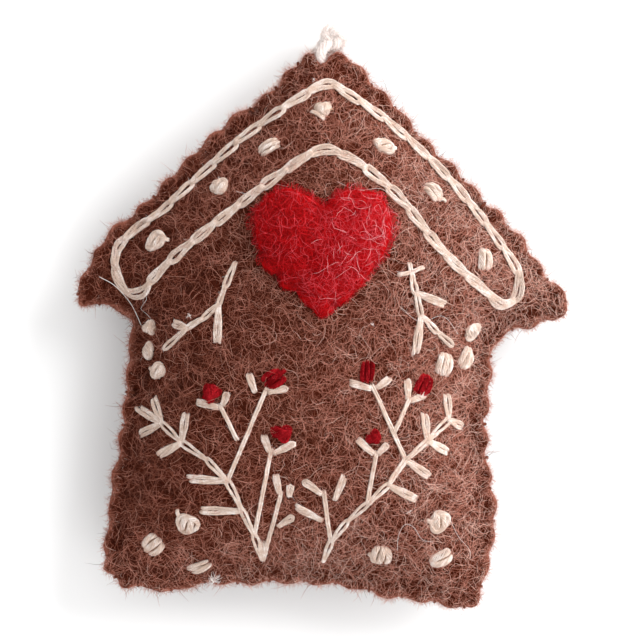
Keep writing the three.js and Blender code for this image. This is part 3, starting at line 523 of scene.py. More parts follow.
def bundle(path, up, width, height, strands, twist, phase=0.0):
    """Centre lines of strands that turn round each other along a path."""
    along = np.gradient(path, axis=0)
    along /= np.maximum(np.linalg.norm(along, axis=1, keepdims=True), 1e-9)
    side = np.cross(along, up)
    side /= np.maximum(np.linalg.norm(side, axis=1, keepdims=True), 1e-9)
    lift = np.cross(side, along)
    travelled = spans(path)
    lines = []
    for strand in range(strands):
        angle = phase + TAU * strand / strands + TAU * travelled / twist
        offset = np.cos(angle)[:, None] * side * width / 2 + np.sin(angle)[:, None] * lift * height / 2
        lines.append(path + offset)
    return lines


def round_section(sides):
    """A small closed curve that gives tubes their number of sides."""
    name = f"section_{sides}"
    if name in bpy.data.objects:
        return bpy.data.objects[name]
    data = bpy.data.curves.new(name, "CURVE")
    data.dimensions = "2D"
    outline = data.splines.new("POLY")
    outline.points.add(sides - 1)
    for corner, point in enumerate(outline.points):
        angle = TAU * corner / sides
        point.co = (math.cos(angle) * MM, math.sin(angle) * MM, 0, 1)
    outline.use_cyclic_u = True
    return bpy.data.objects.new(name, data)


def tubes(name, lines, radii, sides, tones=None, materials=()):
    """One mesh piece of closed tubes along lines in millimetres. For each line, radii has one row, and tones
    has the number of its material."""
    data = bpy.data.curves.new(name, "CURVE")
    data.dimensions = "3D"
    data.bevel_mode = "OBJECT"
    data.bevel_object = round_section(sides)
    data.use_fill_caps = True
    data.twist_mode = "MINIMUM"
    for material in materials:
        data.materials.append(material)
    for number, line in enumerate(lines):
        count = len(line)
        spline = data.splines.new("POLY")
        spline.points.add(count - 1)
        spline.points.foreach_set("co", np.c_[line * MM, np.ones(count)].ravel())
        spline.points.foreach_set("radius", np.broadcast_to(radii[number], count).astype(float))
        spline.use_smooth = True
        if tones is not None:
            spline.material_index = int(tones[number])
    holder = bpy.data.objects.new(name, data)
    bpy.context.scene.collection.objects.link(holder)
    graph = bpy.context.evaluated_depsgraph_get()
    mesh = bpy.data.meshes.new_from_object(holder.evaluated_get(graph))
    bpy.data.objects.remove(holder)
    bpy.data.curves.remove(data)
    mesh.name = name
    return new_piece(name, mesh)


# Materials


def plug(tree, value, socket):
    """Links another node's output to a socket, or sets a plain value on it."""
    if isinstance(value, bpy.types.NodeSocket):
        tree.links.new(value, socket)
    else:
        socket.default_value = value


def calc(tree, operation, *values, clamp=False):
    """Result of a Math node. Its values are other nodes' outputs or numbers."""
    node = tree.nodes.new("ShaderNodeMath")
    node.operation = operation
    node.use_clamp = clamp
    for socket, value in zip(node.inputs, values):
        plug(tree, value, socket)
    return node.outputs[0]


def node_with(tree, kind, **values):
    """A node with its inputs linked or set by name."""
    node = tree.nodes.new(kind)
    for key, value in values.items():
        plug(tree, value, node.inputs[key.replace("_", " ")])
    return node


def cloudy(tree, vector, scale, detail, roughness, distortion=0.0):
    """Noise from 0 to 1."""
    node = node_with(
        tree, "ShaderNodeTexNoise", Vector=vector, Scale=scale, Detail=detail, Roughness=roughness,
        Distortion=distortion,
    )
    return node.outputs["Fac"]


def stretched(tree, value, low, high):
    """A value's range from low to high, drawn out from 0 to 1."""
    return node_with(tree, "ShaderNodeMapRange", Value=value, From_Min=low, From_Max=high).outputs[0]


def ridge(tree, vector, scale, distortion, sharpness):
    """Thin crooked lines: the creases of a distorted noise."""
    noisy = cloudy(tree, vector, scale, 3.0, 0.6, distortion)
    size = calc(tree, "ABSOLUTE", calc(tree, "SUBTRACT", noisy, 0.5))
    steep = calc(tree, "MULTIPLY", size, sharpness, clamp=True)
    return calc(tree, "SUBTRACT", 1.0, steep, clamp=True)


def grain_group(name, pattern):
    """A node group of values that pattern makes from a place, scaled by a fineness."""
    if name in bpy.data.node_groups:
        return bpy.data.node_groups[name]
    tree = bpy.data.node_groups.new(name, "ShaderNodeTree")
    tree.interface.new_socket("Vector", in_out="INPUT", socket_type="NodeSocketVector")
    tree.interface.new_socket("Fineness", in_out="INPUT", socket_type="NodeSocketFloat")
    start = tree.nodes.new("NodeGroupInput")
    sized = node_with(tree, "ShaderNodeVectorMath", Vector=start.outputs["Vector"])
    sized.operation = "SCALE"
    tree.links.new(start.outputs["Fineness"], sized.inputs["Scale"])
    results = pattern(tree, sized.outputs[0])
    for label in results:
        tree.interface.new_socket(label, in_out="OUTPUT", socket_type="NodeSocketFloat")
    node_with(tree, "NodeGroupOutput", **results)
    return tree


def felt_pattern(tree, vector):
    """Matted fibres and soft blotches of wool felt."""
    coarse = ridge(tree, vector, 620.0, 1.6, 9.0)
    fine = ridge(tree, vector, 1450.0, 1.2, 7.0)
    fibres = calc(tree, "MAXIMUM", coarse, fine)
    blotches = cloudy(tree, vector, 330.0, 4.0, 0.62)
    height = calc(tree, "MULTIPLY_ADD", fibres, 0.6, blotches)
    return {"Fibres": fibres, "Blotches": stretched(tree, blotches, 0.32, 0.68), "Height": height}


def floss_pattern(tree, vector):
    """Fine hairs and uneven dye of spun cotton."""
    hairs = ridge(tree, vector, 3800.0, 0.8, 6.0)
    dye = cloudy(tree, vector, 700.0, 3.0, 0.6)
    shade = calc(tree, "MULTIPLY_ADD", hairs, -0.25, dye, clamp=True)
    return {"Shade": stretched(tree, shade, 0.25, 0.6), "Height": hairs}


def bare_material(name, **values):
    """A node material and its Principled shader, with plain values on the shader's sockets."""
    material = bpy.data.materials.new(name)
    material.use_nodes = True
    shader = material.node_tree.nodes["Principled BSDF"]
    for key, value in values.items():
        shader.inputs[key.replace("_", " ")].default_value = value
    return material, material.node_tree, shader


def mixed(tree, share, first, second):
    """Colour between two others, which are values or outputs, by a share from 0 to 1."""
    mix = tree.nodes.new("ShaderNodeMix")
    mix.data_type = "RGBA"
    tree.links.new(share, mix.inputs[0])
    plug(tree, first, mix.inputs[6])
    plug(tree, second, mix.inputs[7])
    return mix.outputs[2]


def patterned(name, group, fineness, deep, full, masks, bump, roughness, edge=None):
    """A material whose colour runs from deep to full by a group's masks, with bump from its height. edge is
    the colour where the mesh's rim attribute is 1: a paler colour, painted light at the cut edge."""
    material, tree, shader = bare_material(
        name, Roughness=roughness, Specular_IOR_Level=0.0, Sheen_Weight=0.1, Sheen_Roughness=0.5,
        Sheen_Tint=full,
    )
    place = tree.nodes.new("ShaderNodeTexCoord")
    grain = tree.nodes.new("ShaderNodeGroup")
    grain.node_tree = group
    grain.inputs["Fineness"].default_value = fineness
    tree.links.new(place.outputs["Object"], grain.inputs["Vector"])
    share = grain.outputs[masks[0]]
    if len(masks) > 1:
        both = calc(tree, "ADD", share, grain.outputs[masks[1]])
        share = calc(tree, "MULTIPLY", both, 0.55, clamp=True)
    pattern = mixed(tree, share, deep, full)
    if edge is not None:
        rim = tree.nodes.new("ShaderNodeAttribute")
        rim.attribute_name = "rim"
        pattern = mixed(tree, rim.outputs["Fac"], pattern, mixed(tree, share, full, edge))
    height = grain.outputs["Height"]
    raised = node_with(tree, "ShaderNodeBump", Height=height, Strength=bump, Distance=BUMP_HEIGHT)
    tree.links.new(pattern, shader.inputs["Base Color"])
    tree.links.new(raised.outputs[0], shader.inputs["Normal"])
    return material


def felt_material(name, fineness, deep, full, edge=None, bump=0.6, roughness=0.95):
    grain = grain_group("Felt grain", felt_pattern)
    return patterned(name, grain, fineness, deep, full, ("Fibres", "Blotches"), bump, roughness, edge)


def floss_material(name, full, deep):
    grain = grain_group("Floss grain", floss_pattern)
    return bpy.data.materials.get(name) or patterned(name, grain, 1.0, deep, full, ("Shade",), 0.35, 0.7)


def fibre_materials(name, codes):
    """Loose fibres of each colour code."""
    return [
        bare_material(label, Base_Color=paint(code), Roughness=0.6, Specular_IOR_Level=0.1)[0]
        for label, code in zip(numbered(name, codes), codes)
    ]


def between(first, second, share):
    """A colour between two others."""
    return tuple(a + (b - a) * share for a, b in zip(first, second))


def floss_tones(name, full, shade, crease, middle, darker, darkest):
    """Materials for floss: its light strands, its shaded ones and those deep in a knot, which are darker as
    painted shade in its creases.
    """
    return [
        floss_material(f"floss_{name}", full, shade),
        floss_material(f"floss_{name}_shaded", between(full, shade, middle), between(shade, BLACK, darker)),
        floss_material(f"floss_{name}_crease", crease, between(crease, BLACK, darkest)),
    ]


def cream_floss():
    floss = floss_settings()
    return floss_tones("cream", floss.cream, floss.cream_shade, floss.cream_knot_shade, 0.6, 0.15, 0.2)


def red_floss():
    floss = floss_settings()
    return floss_tones("red", floss.red, floss.red_shade, floss.red_shade, 0.5, 0.2, 0.3)


# Motifs in plan


def stitch_set(**rows):
    """Stitches by kind, as pairs of ends in plan."""
    return {"links": [], "leaves": [], "bracts": [], "stalks": [], **rows}


def sprig_stitches(anchor, spec):
    """A sprig's stem as chain links, its leaves and its stalks."""
    stem = np.array(spec["stem"], float) + anchor
    leaves = [(stem[joint], stem[joint] + turned(angle, reach)) for joint, angle, reach in spec["leaves"]]
    stitches = stitch_set(links=list(zip(stem[:-1], stem[1:])), leaves=leaves)
    for stalk in spec["stalks"]:
        add_stalk(stitches, stem[stalk["on"]], stalk)
    return stitches


def add_stalk(stitches, start, stalk):
    """Adds a straight stalk, the bracts at its tip and its branch."""
    tip = start + turned(stalk["angle"], stalk["length"])
    stitches["stalks"].append((start, tip))
    back = turned(stalk["angle"], 0.4)
    for angle, reach in stalk["bracts"]:
        stitches["bracts"].append((tip - 2 * back + turned(angle, 0.45), tip - back + turned(angle, reach)))
    branch = stalk.get("branch")
    if branch:
        fork = start + turned(stalk["angle"], stalk["length"] * branch["share"])
        add_stalk(stitches, fork, branch)


def single_bracts(rows):
    """Single bracts set out from the middle of the base."""
    starts = [np.add(BASE_MIDDLE, row[:2]) for row in rows]
    bracts = [(start, start + turned(*row[2:])) for start, row in zip(starts, rows)]
    return stitch_set(bracts=bracts)


def twig_stitches():
    """The loose stalk on the left."""
    stitches = stitch_set()
    add_stalk(stitches, np.add(BASE_MIDDLE, LEFT_TWIG_START), LEFT_TWIG)
    return stitches


def roof_links():
    """The roof band's chain links in plan: both ends and how far each link bows."""
    pitch = floss_settings().link_pitch / MM
    halves = smooth_line(ROOF_BAND, pitch / 2, closed=True)
    if len(halves) % 2 == 0:
        halves = halves[:-1]
    links = []
    for start, middle, end in zip(halves[:-2:2], halves[1:-1:2], halves[2::2]):
        _, _, across = aim(start, end)
        links.append((start, end, float(np.dot(middle - (start + end) / 2, across))))
    return links


def motifs():
    """Every run of embroidery apart from the knots: piece name, stitches and the CAD nodes it stands for."""
    band = stitch_set(links=roof_links())
    return [
        ("roof_chain", band, ["roof_chain_stitch"]),
        ("gable_sprig_left", sprig_stitches(PEAK, LEFT_GABLE_SPRIG), ["left_gable_sprig"]),
        ("gable_sprig_right", sprig_stitches(PEAK, RIGHT_GABLE_SPRIG), ["right_gable_sprig"]),
        ("sprig_left", sprig_stitches(BASE_MIDDLE, LEFT_SPRIG), ["left_sprig"]),
        ("sprig_right", sprig_stitches(BASE_MIDDLE, RIGHT_SPRIG), ["right_sprig"]),
        ("twig_left", twig_stitches(), ["left_twig"]),
        ("bracts_left", single_bracts(LEFT_BRACTS), numbered("left_bract", LEFT_BRACTS)),
        ("bracts_right", single_bracts(RIGHT_BRACTS), numbered("right_bract", RIGHT_BRACTS)),
    ]


def knot_groups():
    """Every group of French knots: piece name, places and the CAD nodes it stands for."""
    groups = [
        ("roof_knots", ROOF_KNOTS, "roof_knot"),
        ("wall_knots_left", LEFT_WALL_KNOTS, "left_wall_knot"),
        ("wall_knots_right", RIGHT_WALL_KNOTS, "right_wall_knot"),
        ("foot_knots_left", LEFT_FOOT_KNOTS, "left_foot_knot"),
        ("foot_knots_right", RIGHT_FOOT_KNOTS, "right_foot_knot"),
    ]
    return [(name, rows, numbered(node, rows)) for name, rows, node in groups]


def embroidery_spots():
    """Points in plan under all the embroidery, where it pulls the felt in."""
    spots = []
    for _, stitches, _ in motifs():
        for ends in stitches.values():
            for start, end, *_ in ends:
                count = max(2, int(np.linalg.norm(end - start)) * 2)
                spots.extend(start + (end - start) * share for share in np.linspace(0, 1, count))
    for _, rows, _ in knot_groups():
        spots.extend(np.array(row[:2]) for row in rows)
    spots.extend(np.array(row[:2]) for row in LEFT_BERRIES + RIGHT_BERRIES)
    return np.array(spots)


# The edge of the panels


def border_loops(node, level):
    """Closed loops round a panel's flat border at a height, the longest first."""
    bm = bmesh.new()
    bm.from_mesh(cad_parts[node].data)
    bmesh.ops.remove_doubles(bm, verts=bm.verts, dist=WELD)
    bm.normal_update()

    def on_border(edge):
        if len(edge.link_faces) != 2 or any(abs(v.co.z / MM - level) > 0.02 for v in edge.verts):
            return False
        flatness = sorted(abs(face.normal.z) for face in edge.link_faces)
        return flatness[0] < 0.5 and flatness[1] > 0.95

    border = [edge for edge in bm.edges if on_border(edge)]
    taken = set()
    loops = []
    for edge in border:
        if edge in taken:
            continue
        taken.add(edge)
        loop = [edge.verts[0], edge.verts[1]]
        while True:
            following = [e for e in loop[-1].link_edges if e not in taken and on_border(e)]
            if not following:
                break
            taken.add(following[0])
            loop.append(following[0].other_vert(loop[-1]))
        loops.append(np.array([v.co[:2] for v in loop]) / MM)
    bm.free()
    return sorted(loops, key=len, reverse=True)


def push(plan, rows, weight=1.0):
    """Moves points in plan near some spots. Each row is a spot, its shift and its reach."""
    for spot, shift, reach in rows:
        gap = np.hypot(plan[:, 0] - spot[0], plan[:, 1] - spot[1])
        plan += (falloff(gap, reach) * weight)[:, None] * shift


def strayed(plan, depth):
    """Points in plan, moved as the cut edge strays. Those deeper inside move less."""
    moved = np.array(plan, float)
    push(moved, EDGE_STRAYS, np.clip(1 - depth / STRAY_DEPTH, 0, 1))
    return moved


def stitch_places():
    """In plan, the rim as cut and as it strays, and the edge stitches in order: hole in the felt and dent in
    the rim."""
    rim, *holes = border_loops("front_felt", FLANGE_LEVEL)
    centres = np.array([loop.mean(0) for loop in holes])
    rim = smooth_line(rim[:-1], 0.25, closed=True)
    order = []
    for centre in centres:
        gaps = np.linalg.norm(rim - centre, axis=1)
        near = gaps.argmin()
        order.append((near, centre, rim[near]))
    order.sort(key=lambda row: row[0])
    holes = strayed([hole for _, hole, _ in order], 2.5)
    dents = strayed([dent for _, _, dent in order], 0.0)
    return rim, strayed(rim, 0.0), list(zip(holes, dents))


def edge_push(dent):
    """How far a dent in the rim fills out, unevenly. On the right roof slope the thread draws it in."""
    x, y = dent
    uneven = 0.3 * noise.noise(Vector((x * 0.35, y * 0.35, 4.0)))
    on_right_roof = y > 4 and x > 0
    return uneven + (ROOF_DRAW if on_right_roof else EDGE_FILL)


def plan_tree(spots):
    """A search tree of points in plan."""
    tree = KDTree(len(spots))
    for index, spot in enumerate(spots):
        tree.insert((*spot, 0), index)
    tree.balance()
    return tree


made = {}


# Stage


class ORNAMENT_OT_stage(bpy.types.Operator):
    """Make the camera, the lights and the floor"""

    bl_idname = "ornament.stage"
    bl_label = "Stage"

    lamps = {"key": (0.4, 0.26, 0.29), "fill": (0.2, -0.42, 0.36), "left": (-0.42, 0.05, 0.4)}
    lamp_size = 0.5

    def execute(self, context):
        stage = stage_settings()
        data = bpy.data.cameras.new("camera")
        data.lens = stage.lens
        data.sensor_width = 36
        camera = bpy.data.objects.new("camera", data)
        context.scene.collection.objects.link(camera)
        distance = stage.frame_width * stage.lens / data.sensor_width
        camera.location = (stage.frame_x, stage.frame_y, SEAM_LEVEL * MM + distance)
        context.scene.camera = camera

        for name, place in self.lamps.items():
            self.lamp(name, place, getattr(stage, f"{name}_power"))
        self.sky(context, stage.sky)
        self.floor(stage.floor)
        context.scene.view_settings.view_transform = "Standard"
        return {"FINISHED"}

    def lamp(self, name, place, power):
        """A soft round light, turned to the middle of the house."""
        data = bpy.data.lights.new(name, "AREA")
        data.shape = "DISK"
        data.size = self.lamp_size
        data.energy = power
        lamp = bpy.data.objects.new(name, data)
        lamp.location = place
        lamp.rotation_euler = (Vector((0, 0, 0.01)) - lamp.location).to_track_quat("-Z", "Y").to_euler()
        bpy.context.scene.collection.objects.link(lamp)

    def seen(self, tree):
        """1 for a ray that the camera sees, straight or by way of gloss or glass."""
        path = tree.nodes.new("ShaderNodeLightPath")
        rays = [path.outputs[f"Is {kind} Ray"] for kind in ("Camera", "Glossy", "Transmission")]
        return calc(tree, "MAXIMUM", calc(tree, "MAXIMUM", rays[0], rays[1]), rays[2])

    def sky(self, context, strength):
        world = bpy.data.worlds.new("sky")
        world.use_nodes = True
        tree = world.node_tree
        back = tree.nodes["Background"]
        level = tree.nodes.new("ShaderNodeMix")
        level.data_type = "FLOAT"
        tree.links.new(self.seen(tree), level.inputs[0])
        level.inputs[2].default_value = strength
        level.inputs[3].default_value = 1.0
        tree.links.new(level.outputs[0], back.inputs["Strength"])
        back.inputs["Color"].default_value = (1, 1, 1, 1)
        context.scene.world = world

    def floor(self, colour_value):
        bm = bmesh.new()
        bmesh.ops.create_circle(bm, cap_ends=True, segments=64, radius=2.5)
        mesh = bpy.data.meshes.new("floor")
        bm.to_mesh(mesh)
        bm.free()
        floor = new_piece("floor", mesh)
        material, tree, shader = bare_material(
            "floor", Base_Color=colour_value, Roughness=0.9, Specular_IOR_Level=0.1,
            Emission_Color=(0.02, 0.02, 0.02, 1),
        )
        tree.links.new(self.seen(tree), shader.inputs["Emission Strength"])
        mesh.materials.append(material)


# Hanger


class ORNAMENT_OT_hanger(bpy.types.Operator):
    """Make the hanging cord: its loop, its knot and its end between the panels"""

    bl_idname = "ornament.hanger"
    bl_label = "Hanger"

    # Strands of the cord, their radius, the core's, and the length in which they turn once
    strands = 7
    strand = 0.3
    core = 0.5
    twist = 7.0

    def execute(self, context):
        floss = floss_settings()
        material = floss_material("cord_cream", floss.cord, floss.cord_shade)
        route = smooth_line(HANGER_ROUTE, 0.5)
        loop = self.cord("hanger_cord", route)
        knot = self.cord("hanger_knot_cord", self.knot_route())
        tail = self.cord("hanger_end", self.tail_route())
        finished(tail, "house", "cream_cord", material, "hanger_tail")
        finished(knot, "house", "cream_cord", material, "hanger_knot")
        finished(loop, "hanger", "cream_cord", material, "hanger_loop")
        made["cord"] = [loop, knot, tail]
        return {"FINISHED"}

    def cord(self, name, route):
        """A soft cord of strands that turn round a core, along a route."""
        random = np.random.default_rng(len(name))
        up = np.broadcast_to([0.31, 0.17, 0.93], route.shape)
        width = CORD_DIAMETER / MM - 2 * self.strand
        lines = bundle(route, up, width, width, self.strands, self.twist)
        lines = [line + random.normal(0, 0.05, line.shape) for line in lines]
        return tubes(name, [*lines, route], [*[self.strand] * self.strands, self.core], 6)

    def knot_route(self):
        """An overhand knot, drawn tight."""
        share = np.linspace(0, TAU, 60)
        reach = 1.1 + 0.45 * np.cos(3 * share)
        along = reach * np.cos(2 * share)
        across = 1.15 * reach * np.sin(2 * share)
        return np.stack([along, across, 0.75 * np.sin(3 * share)], axis=1) + HANGER_KNOT

    def tail_route(self):
        """From between the panels to the knot."""
        low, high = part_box("hanger_tail")
        middle = (low + high) / 2 / MM
        start = (PEAK[0], low.y / MM, middle.z)
        between_panels = (PEAK[0], low.y / MM + 2, middle.z)
        return smooth_line([start, between_panels, *HANGER_END, HANGER_KNOT], 0.4)


# Panels


class ORNAMENT_OT_panels(bpy.types.Operator):
    """Stuff the felt casing and make its two panels and the filling"""

    bl_idname = "ornament.panels"
    bl_label = "Felt panels and filling"

    cloth = {
        "quality": 6, "mass": 0.05, "tension_stiffness": 12, "compression_stiffness": 12,
        "shear_stiffness": 8, "bending_stiffness": 1.5, "use_pressure": True, "uniform_pressure_force": 4,
        "vertex_group_mass": "seam",
    }
    cloth_scale = 10.0
    cloth_steps = 20
    # How far a hole gathers the felt, how deep stitches sink it, and the notch that the cord's end lies in
    gather = 1.2
    thread_dent = 0.3
    hole_dent = 0.35
    floss_dent = 0.32
    peak_notch = (0.4, 45.5)
    notch_depth = 1.5

    def execute(self, context):
        felt = felt_settings()
        made["cut"], made["rim"], made["stitches"] = stitch_places()
        tree = self.casing(context, felt)
        # The brown felt carries painted shade between its loose fibres and painted light at its cut edge.
        brown = felt_material("wool_brown", 1.0, felt.brown_shaded_deep, felt.brown_shaded_full, felt.brown_lit_edge)
        sides = (("front", 1, felt.panel_grain), ("back", -1, felt.back_grain))
        for name, side, grain in sides:
            made[name] = self.panel(f"{name}_panel", f"{name}_felt", tree, side, grain)
        for name, _, _ in sides:
            finished(made[name], "house", "brown_felt", brown, f"{name}_felt")
        made["field"] = HeightField(made["front"], 0.35, 1.2)
        self.filling(felt)
        return {"FINISHED"}

    def casing(self, context, felt):
        """A tree of the faces of a bag of panels and filling, swollen by pressure and held at its seam."""
        bag = copy_of_nodes("casing", "front_felt", "back_felt", "stuffing")
        remesh(bag, felt.casing_grain)
        start, _ = points_of(bag.data)
        held = bag.vertex_groups.new(name="seam")
        low = np.abs(start[:, 2] - SEAM_LEVEL) < FELT + 1.2
        held.add(np.nonzero(low)[0].tolist(), 1.0, "ADD")
        swollen = self.swollen(context, bag, start)
        shift = swollen - start
        reach = np.linalg.norm(shift, axis=1, keepdims=True)
        limit = felt.swell_limit / MM
        shift *= np.minimum(1, limit / np.maximum(reach, 1e-6))
        set_points(bag.data, start + shift)
        relax(bag, 6)
        fine = bag.modifiers.new("Rounder", "SUBSURF")
        fine.levels = fine.render_levels = 2
        settle(bag)
        tree = BVHTree.FromObject(bag, context.evaluated_depsgraph_get())
        bpy.data.objects.remove(bag)
        return tree

    def swollen(self, context, bag, start):
        """The bag's points after a cloth simulation, which runs on an enlarged bag."""
        set_points(bag.data, start * self.cloth_scale)
        cloth = bag.modifiers.new("Stuffed", "CLOTH")
        for key, value in self.cloth.items():
            setattr(cloth.settings, key, value)
        cloth.settings.effector_weights.gravity = 0
        for step in range(1, self.cloth_steps + 1):
            context.scene.frame_set(step)
        settle(bag)
        context.scene.frame_set(1)
        places, _ = points_of(bag.data)
        return places / self.cloth_scale

    def panel(self, name, node, tree, side, grain):
        """One felt panel, laid on the swollen casing, dented by its stitches and a little uneven."""
        piece = copy_of_nodes(name, node)
        remesh(piece, grain)
        relax(piece, 6)
        places, normals = points_of(piece.data)
        places[:, :2] = strayed(places[:, :2], self.distances(made["cut"], places))
        depth = self.distances(made["rim"], places)
        outer = normals[:, 2] * side > 0
        self.lay_on(tree, places, depth, outer, side)
        self.dent(places, depth, outer, side)
        uneven = 0.1 * lumps(places, 1.1, side) + 0.22 * lumps(places, 4.5, side + 3)
        places += normals * uneven[:, None]
        self.scallop(places)
        stray = 0.45 * lumps(places, 2.6, side + 5) + 0.45 * lumps(places, 7.0, 8) - 0.35
        stray *= np.clip(1 - depth / FELT, 0, 1)
        places += normals * [1, 1, 0] * stray[:, None]
        if side > 0:
            x, y = self.peak_notch
            notch = falloff(places[:, 0] - x, 1.2) * np.clip((places[:, 1] - y) / 3, 0, 1)
            places[:, 1] -= self.notch_depth * notch
        else:
            places[:, 2] = np.maximum(places[:, 2], 0.02 + 0.05 * lumps(places, 2.0, 9) ** 2)
        set_points(piece.data, places)
        relax(piece, 1)
        # Painted light: the rim attribute gives the cut edge its paler colour, for light that comes through
        # the fuzz there.
        rim = piece.data.attributes.new("rim", "FLOAT", "POINT")
        rim.data.foreach_set("value", np.clip(1.1 - depth / 1.2 + 0.5 * lumps(places, 0.8, 21), 0, 1))
        return piece

    def lay_on(self, tree, places, depth, outer, side):
        """Moves a panel onto the casing, apart from its flat border."""
        swollen = []
        for x, y, z in places:
            hit = tree.ray_cast(Vector((x * MM, y * MM, side * RAY_START)), Vector((0, 0, -side)))[0]
            swollen.append(hit.z / MM if hit else z)
        swollen = np.array(swollen)
        target = np.where(outer, swollen, swollen - side * FELT)
        share = np.clip((depth - FLANGE - 0.5) / 4.0, 0, 1)
        share = share * share * (3 - 2 * share)
        places[:, 2] += (target - places[:, 2]) * share

    def dent(self, places, depth, outer, side):
        """Sinks the felt under its stitches and gathers it round their holes."""
        holes = np.array([hole for hole, _ in made["stitches"]])
        pull = falloff(self.distances(self.thread_spots(), places), 1.0)
        pit = falloff(self.distances(holes, places), 1.1)
        places[:, 2] -= side * (self.thread_dent * pull + self.hole_dent * pit) * outer
        for hole in holes:
            away = places[:, :2] - hole
            gap = np.linalg.norm(away, axis=1)
            near = gap < self.gather
            places[near, :2] -= away[near] * (0.45 * (1 - gap[near] / self.gather))[:, None]
        if side > 0:
            pull = falloff(self.distances(embroidery_spots(), places), 0.9)
            places[:, 2] -= self.floss_dent * pull * outer * (depth > FELT)

    def scallop(self, places):
        """Pushes the rim out or in at each edge stitch."""
        for hole, dent in made["stitches"]:
            out = (dent - hole) / np.linalg.norm(dent - hole)
            gap = np.linalg.norm(places[:, :2] - dent, axis=1)
            near = gap < 3
            places[near, :2] += (edge_push(dent) * falloff(gap[near], 1.3))[:, None] * out

    def thread_spots(self):
        return np.array([
            hole + (dent - hole) * share for hole, dent in made["stitches"] for share in np.linspace(0, 1, 6)
        ])

    def distances(self, spots, places):
        """Distance in plan from each place to the nearest spot."""
        tree = plan_tree(spots)
        return np.array([tree.find((x, y, 0))[2] for x, y, _ in places])

    def filling(self, felt):
        piece = copy_of_nodes("wool_filling", "stuffing")
        remesh(piece, 0.002)
        relax(piece, 3)
        places, normals = points_of(piece.data)
        places -= normals * (0.35 + 0.35 * lumps(places, 5, 2))[:, None]
        set_points(piece.data, places)
        shade = between(felt.wool_white, BLACK, 0.2)
        wool = felt_material("wool_filling", 0.5, shade, felt.wool_white, bump=0.5, roughness=1.0)
        finished(piece, "house", "filling_wool", wool, "stuffing")


class ORNAMENT_OT_edge_stitches(bpy.types.Operator):
    """Make the whip stitch round the edge"""

    bl_idname = "ornament.edge_stitches"
    bl_label = "Edge stitches"

    # The thread's plies, how far they stand apart and turn, and how deep it tucks into the edge and the face
    ply = 0.17
    ply_gap = 0.26
    twist = 2.4
    tuck = 0.45
    press = 0.05

    def execute(self, context):
        graph = context.evaluated_depsgraph_get()
        front = BVHTree.FromObject(made["front"], graph)
        back = BVHTree.FromObject(made["back"], graph)
        route = []
        stitches = made["stitches"]
        drop = FLANGE_LEVEL - 1.3 - SEAM_LEVEL
        for index, (hole, dent) in enumerate(stitches):
            _, outward, _ = aim(hole, dent)
            over = [hole, hole + (dent - hole) * 0.5, dent - outward * self.tuck]
            route.append((*hole, SEAM_LEVEL))
            route.extend((*spot, self.level(front, spot, 1) - self.press) for spot in over)
            dent = dent + outward * (edge_push(dent) - 0.2)
            turn = dent + outward * 0.12
            route.extend([(*turn, SEAM_LEVEL + drop), (*turn, SEAM_LEVEL - drop)])
            under = [dent - outward * self.tuck]
            if index + 1 < len(stitches):
                following = stitches[index + 1][0]
                under.extend(dent + (following - dent) * share for share in (0.4, 0.7, 0.95))
            route.extend((*spot, self.level(back, spot, -1) + self.press) for spot in under)
        path = smooth_line(route, 0.4)
        up = np.broadcast_to([0.2, 0.1, 0.97], path.shape)
        lines = bundle(path, up, self.ply_gap, self.ply_gap, 2, self.twist)
        piece = tubes("edge_thread", lines, [self.ply, self.ply], 5)
        floss = floss_settings()
        material = floss_material("thread_brown", floss.thread, floss.thread_shade)
        finished(piece, "house", "brown_thread", material, "edge_whipstitch")
        return {"FINISHED"}

    def level(self, tree, spot, side):
        """Height of a panel's outer side at a spot."""
        hit = tree.ray_cast(Vector((*(spot * MM), side * RAY_START)), Vector((0, 0, -side)))[0]
        return hit.z / MM if hit else SEAM_LEVEL + side * FELT


# Heart


class ORNAMENT_OT_heart(bpy.types.Operator):
    """Make the felt heart"""

    bl_idname = "ornament.heart"
    bl_label = "Heart"

    # Tack stitches along the lower edge, and lobes between them: place, shift and reach
    tacks = [(-9.8, 13.4), (-7.2, 9.4), (-4.4, 6.2), (-0.9, 2.9), (2.4, 4.4), (6.4, 6.6), (10.2, 11.0)]
    bulges = [
        ((6.4, 4.4), (0.9, -0.9), 2.6), ((-9.0, 11.0), (-1.2, -0.6), 1.6), ((-6.0, 7.4), (-1.2, -0.8), 1.2),
        ((-3.6, 4.4), (-0.9, -0.7), 1.2), ((-1.2, 2.2), (-1.0, -0.5), 1.4), ((2.8, 2.8), (0.8, -0.6), 1.6),
    ]
    # How deep a tack sinks, how far it gathers the felt, and how far the heart sinks in at its edge
    tack_depth = 1.7
    tack_gather = 0.55
    settled = 0.9

    def execute(self, context):
        felt = felt_settings()
        piece = copy_of_nodes("felt_heart", "heart")
        remesh(piece, felt.heart_grain)
        relax(piece, 4)
        places, normals = points_of(piece.data)
        x, y, z = places.T
        ground = made["field"](x, y)
        share = np.clip((z - ground) / 4.0, 0, 1)
        places[:, 2] -= self.settled * (1 - share)
        gaps = np.min([np.hypot(x - a, y - b) for a, b in self.tacks], axis=0)
        places[:, 2] -= self.tack_depth * falloff(gaps, 1.0) * (normals[:, 2] > 0)
        for tack in self.tacks:
            away = places[:, :2] - tack
            gap = np.linalg.norm(away, axis=1)
            places[:, :2] -= away * (self.tack_gather * falloff(gap, 1.3))[:, None]
        uneven = 0.1 * lumps(places, 0.9, 11) + 0.22 * lumps(places, 3.4, 12)
        places += normals * uneven[:, None]
        flat = normals * [1, 1, 0]
        places += flat * (0.3 * lumps(places, 2.2, 13) - 0.45)[:, None]
        push(places[:, :2], self.bulges)
        set_points(piece.data, places)
        relax(piece, 1)
        red = felt_material("wool_red", 1.1, felt.red_deep, felt.red_full)
        finished(piece, "house", "red_felt", red, "heart")
        made["heart"] = piece
        made["heart_field"] = HeightField(piece, 0.4, 1.6)
        return {"FINISHED"}


# Embroidery


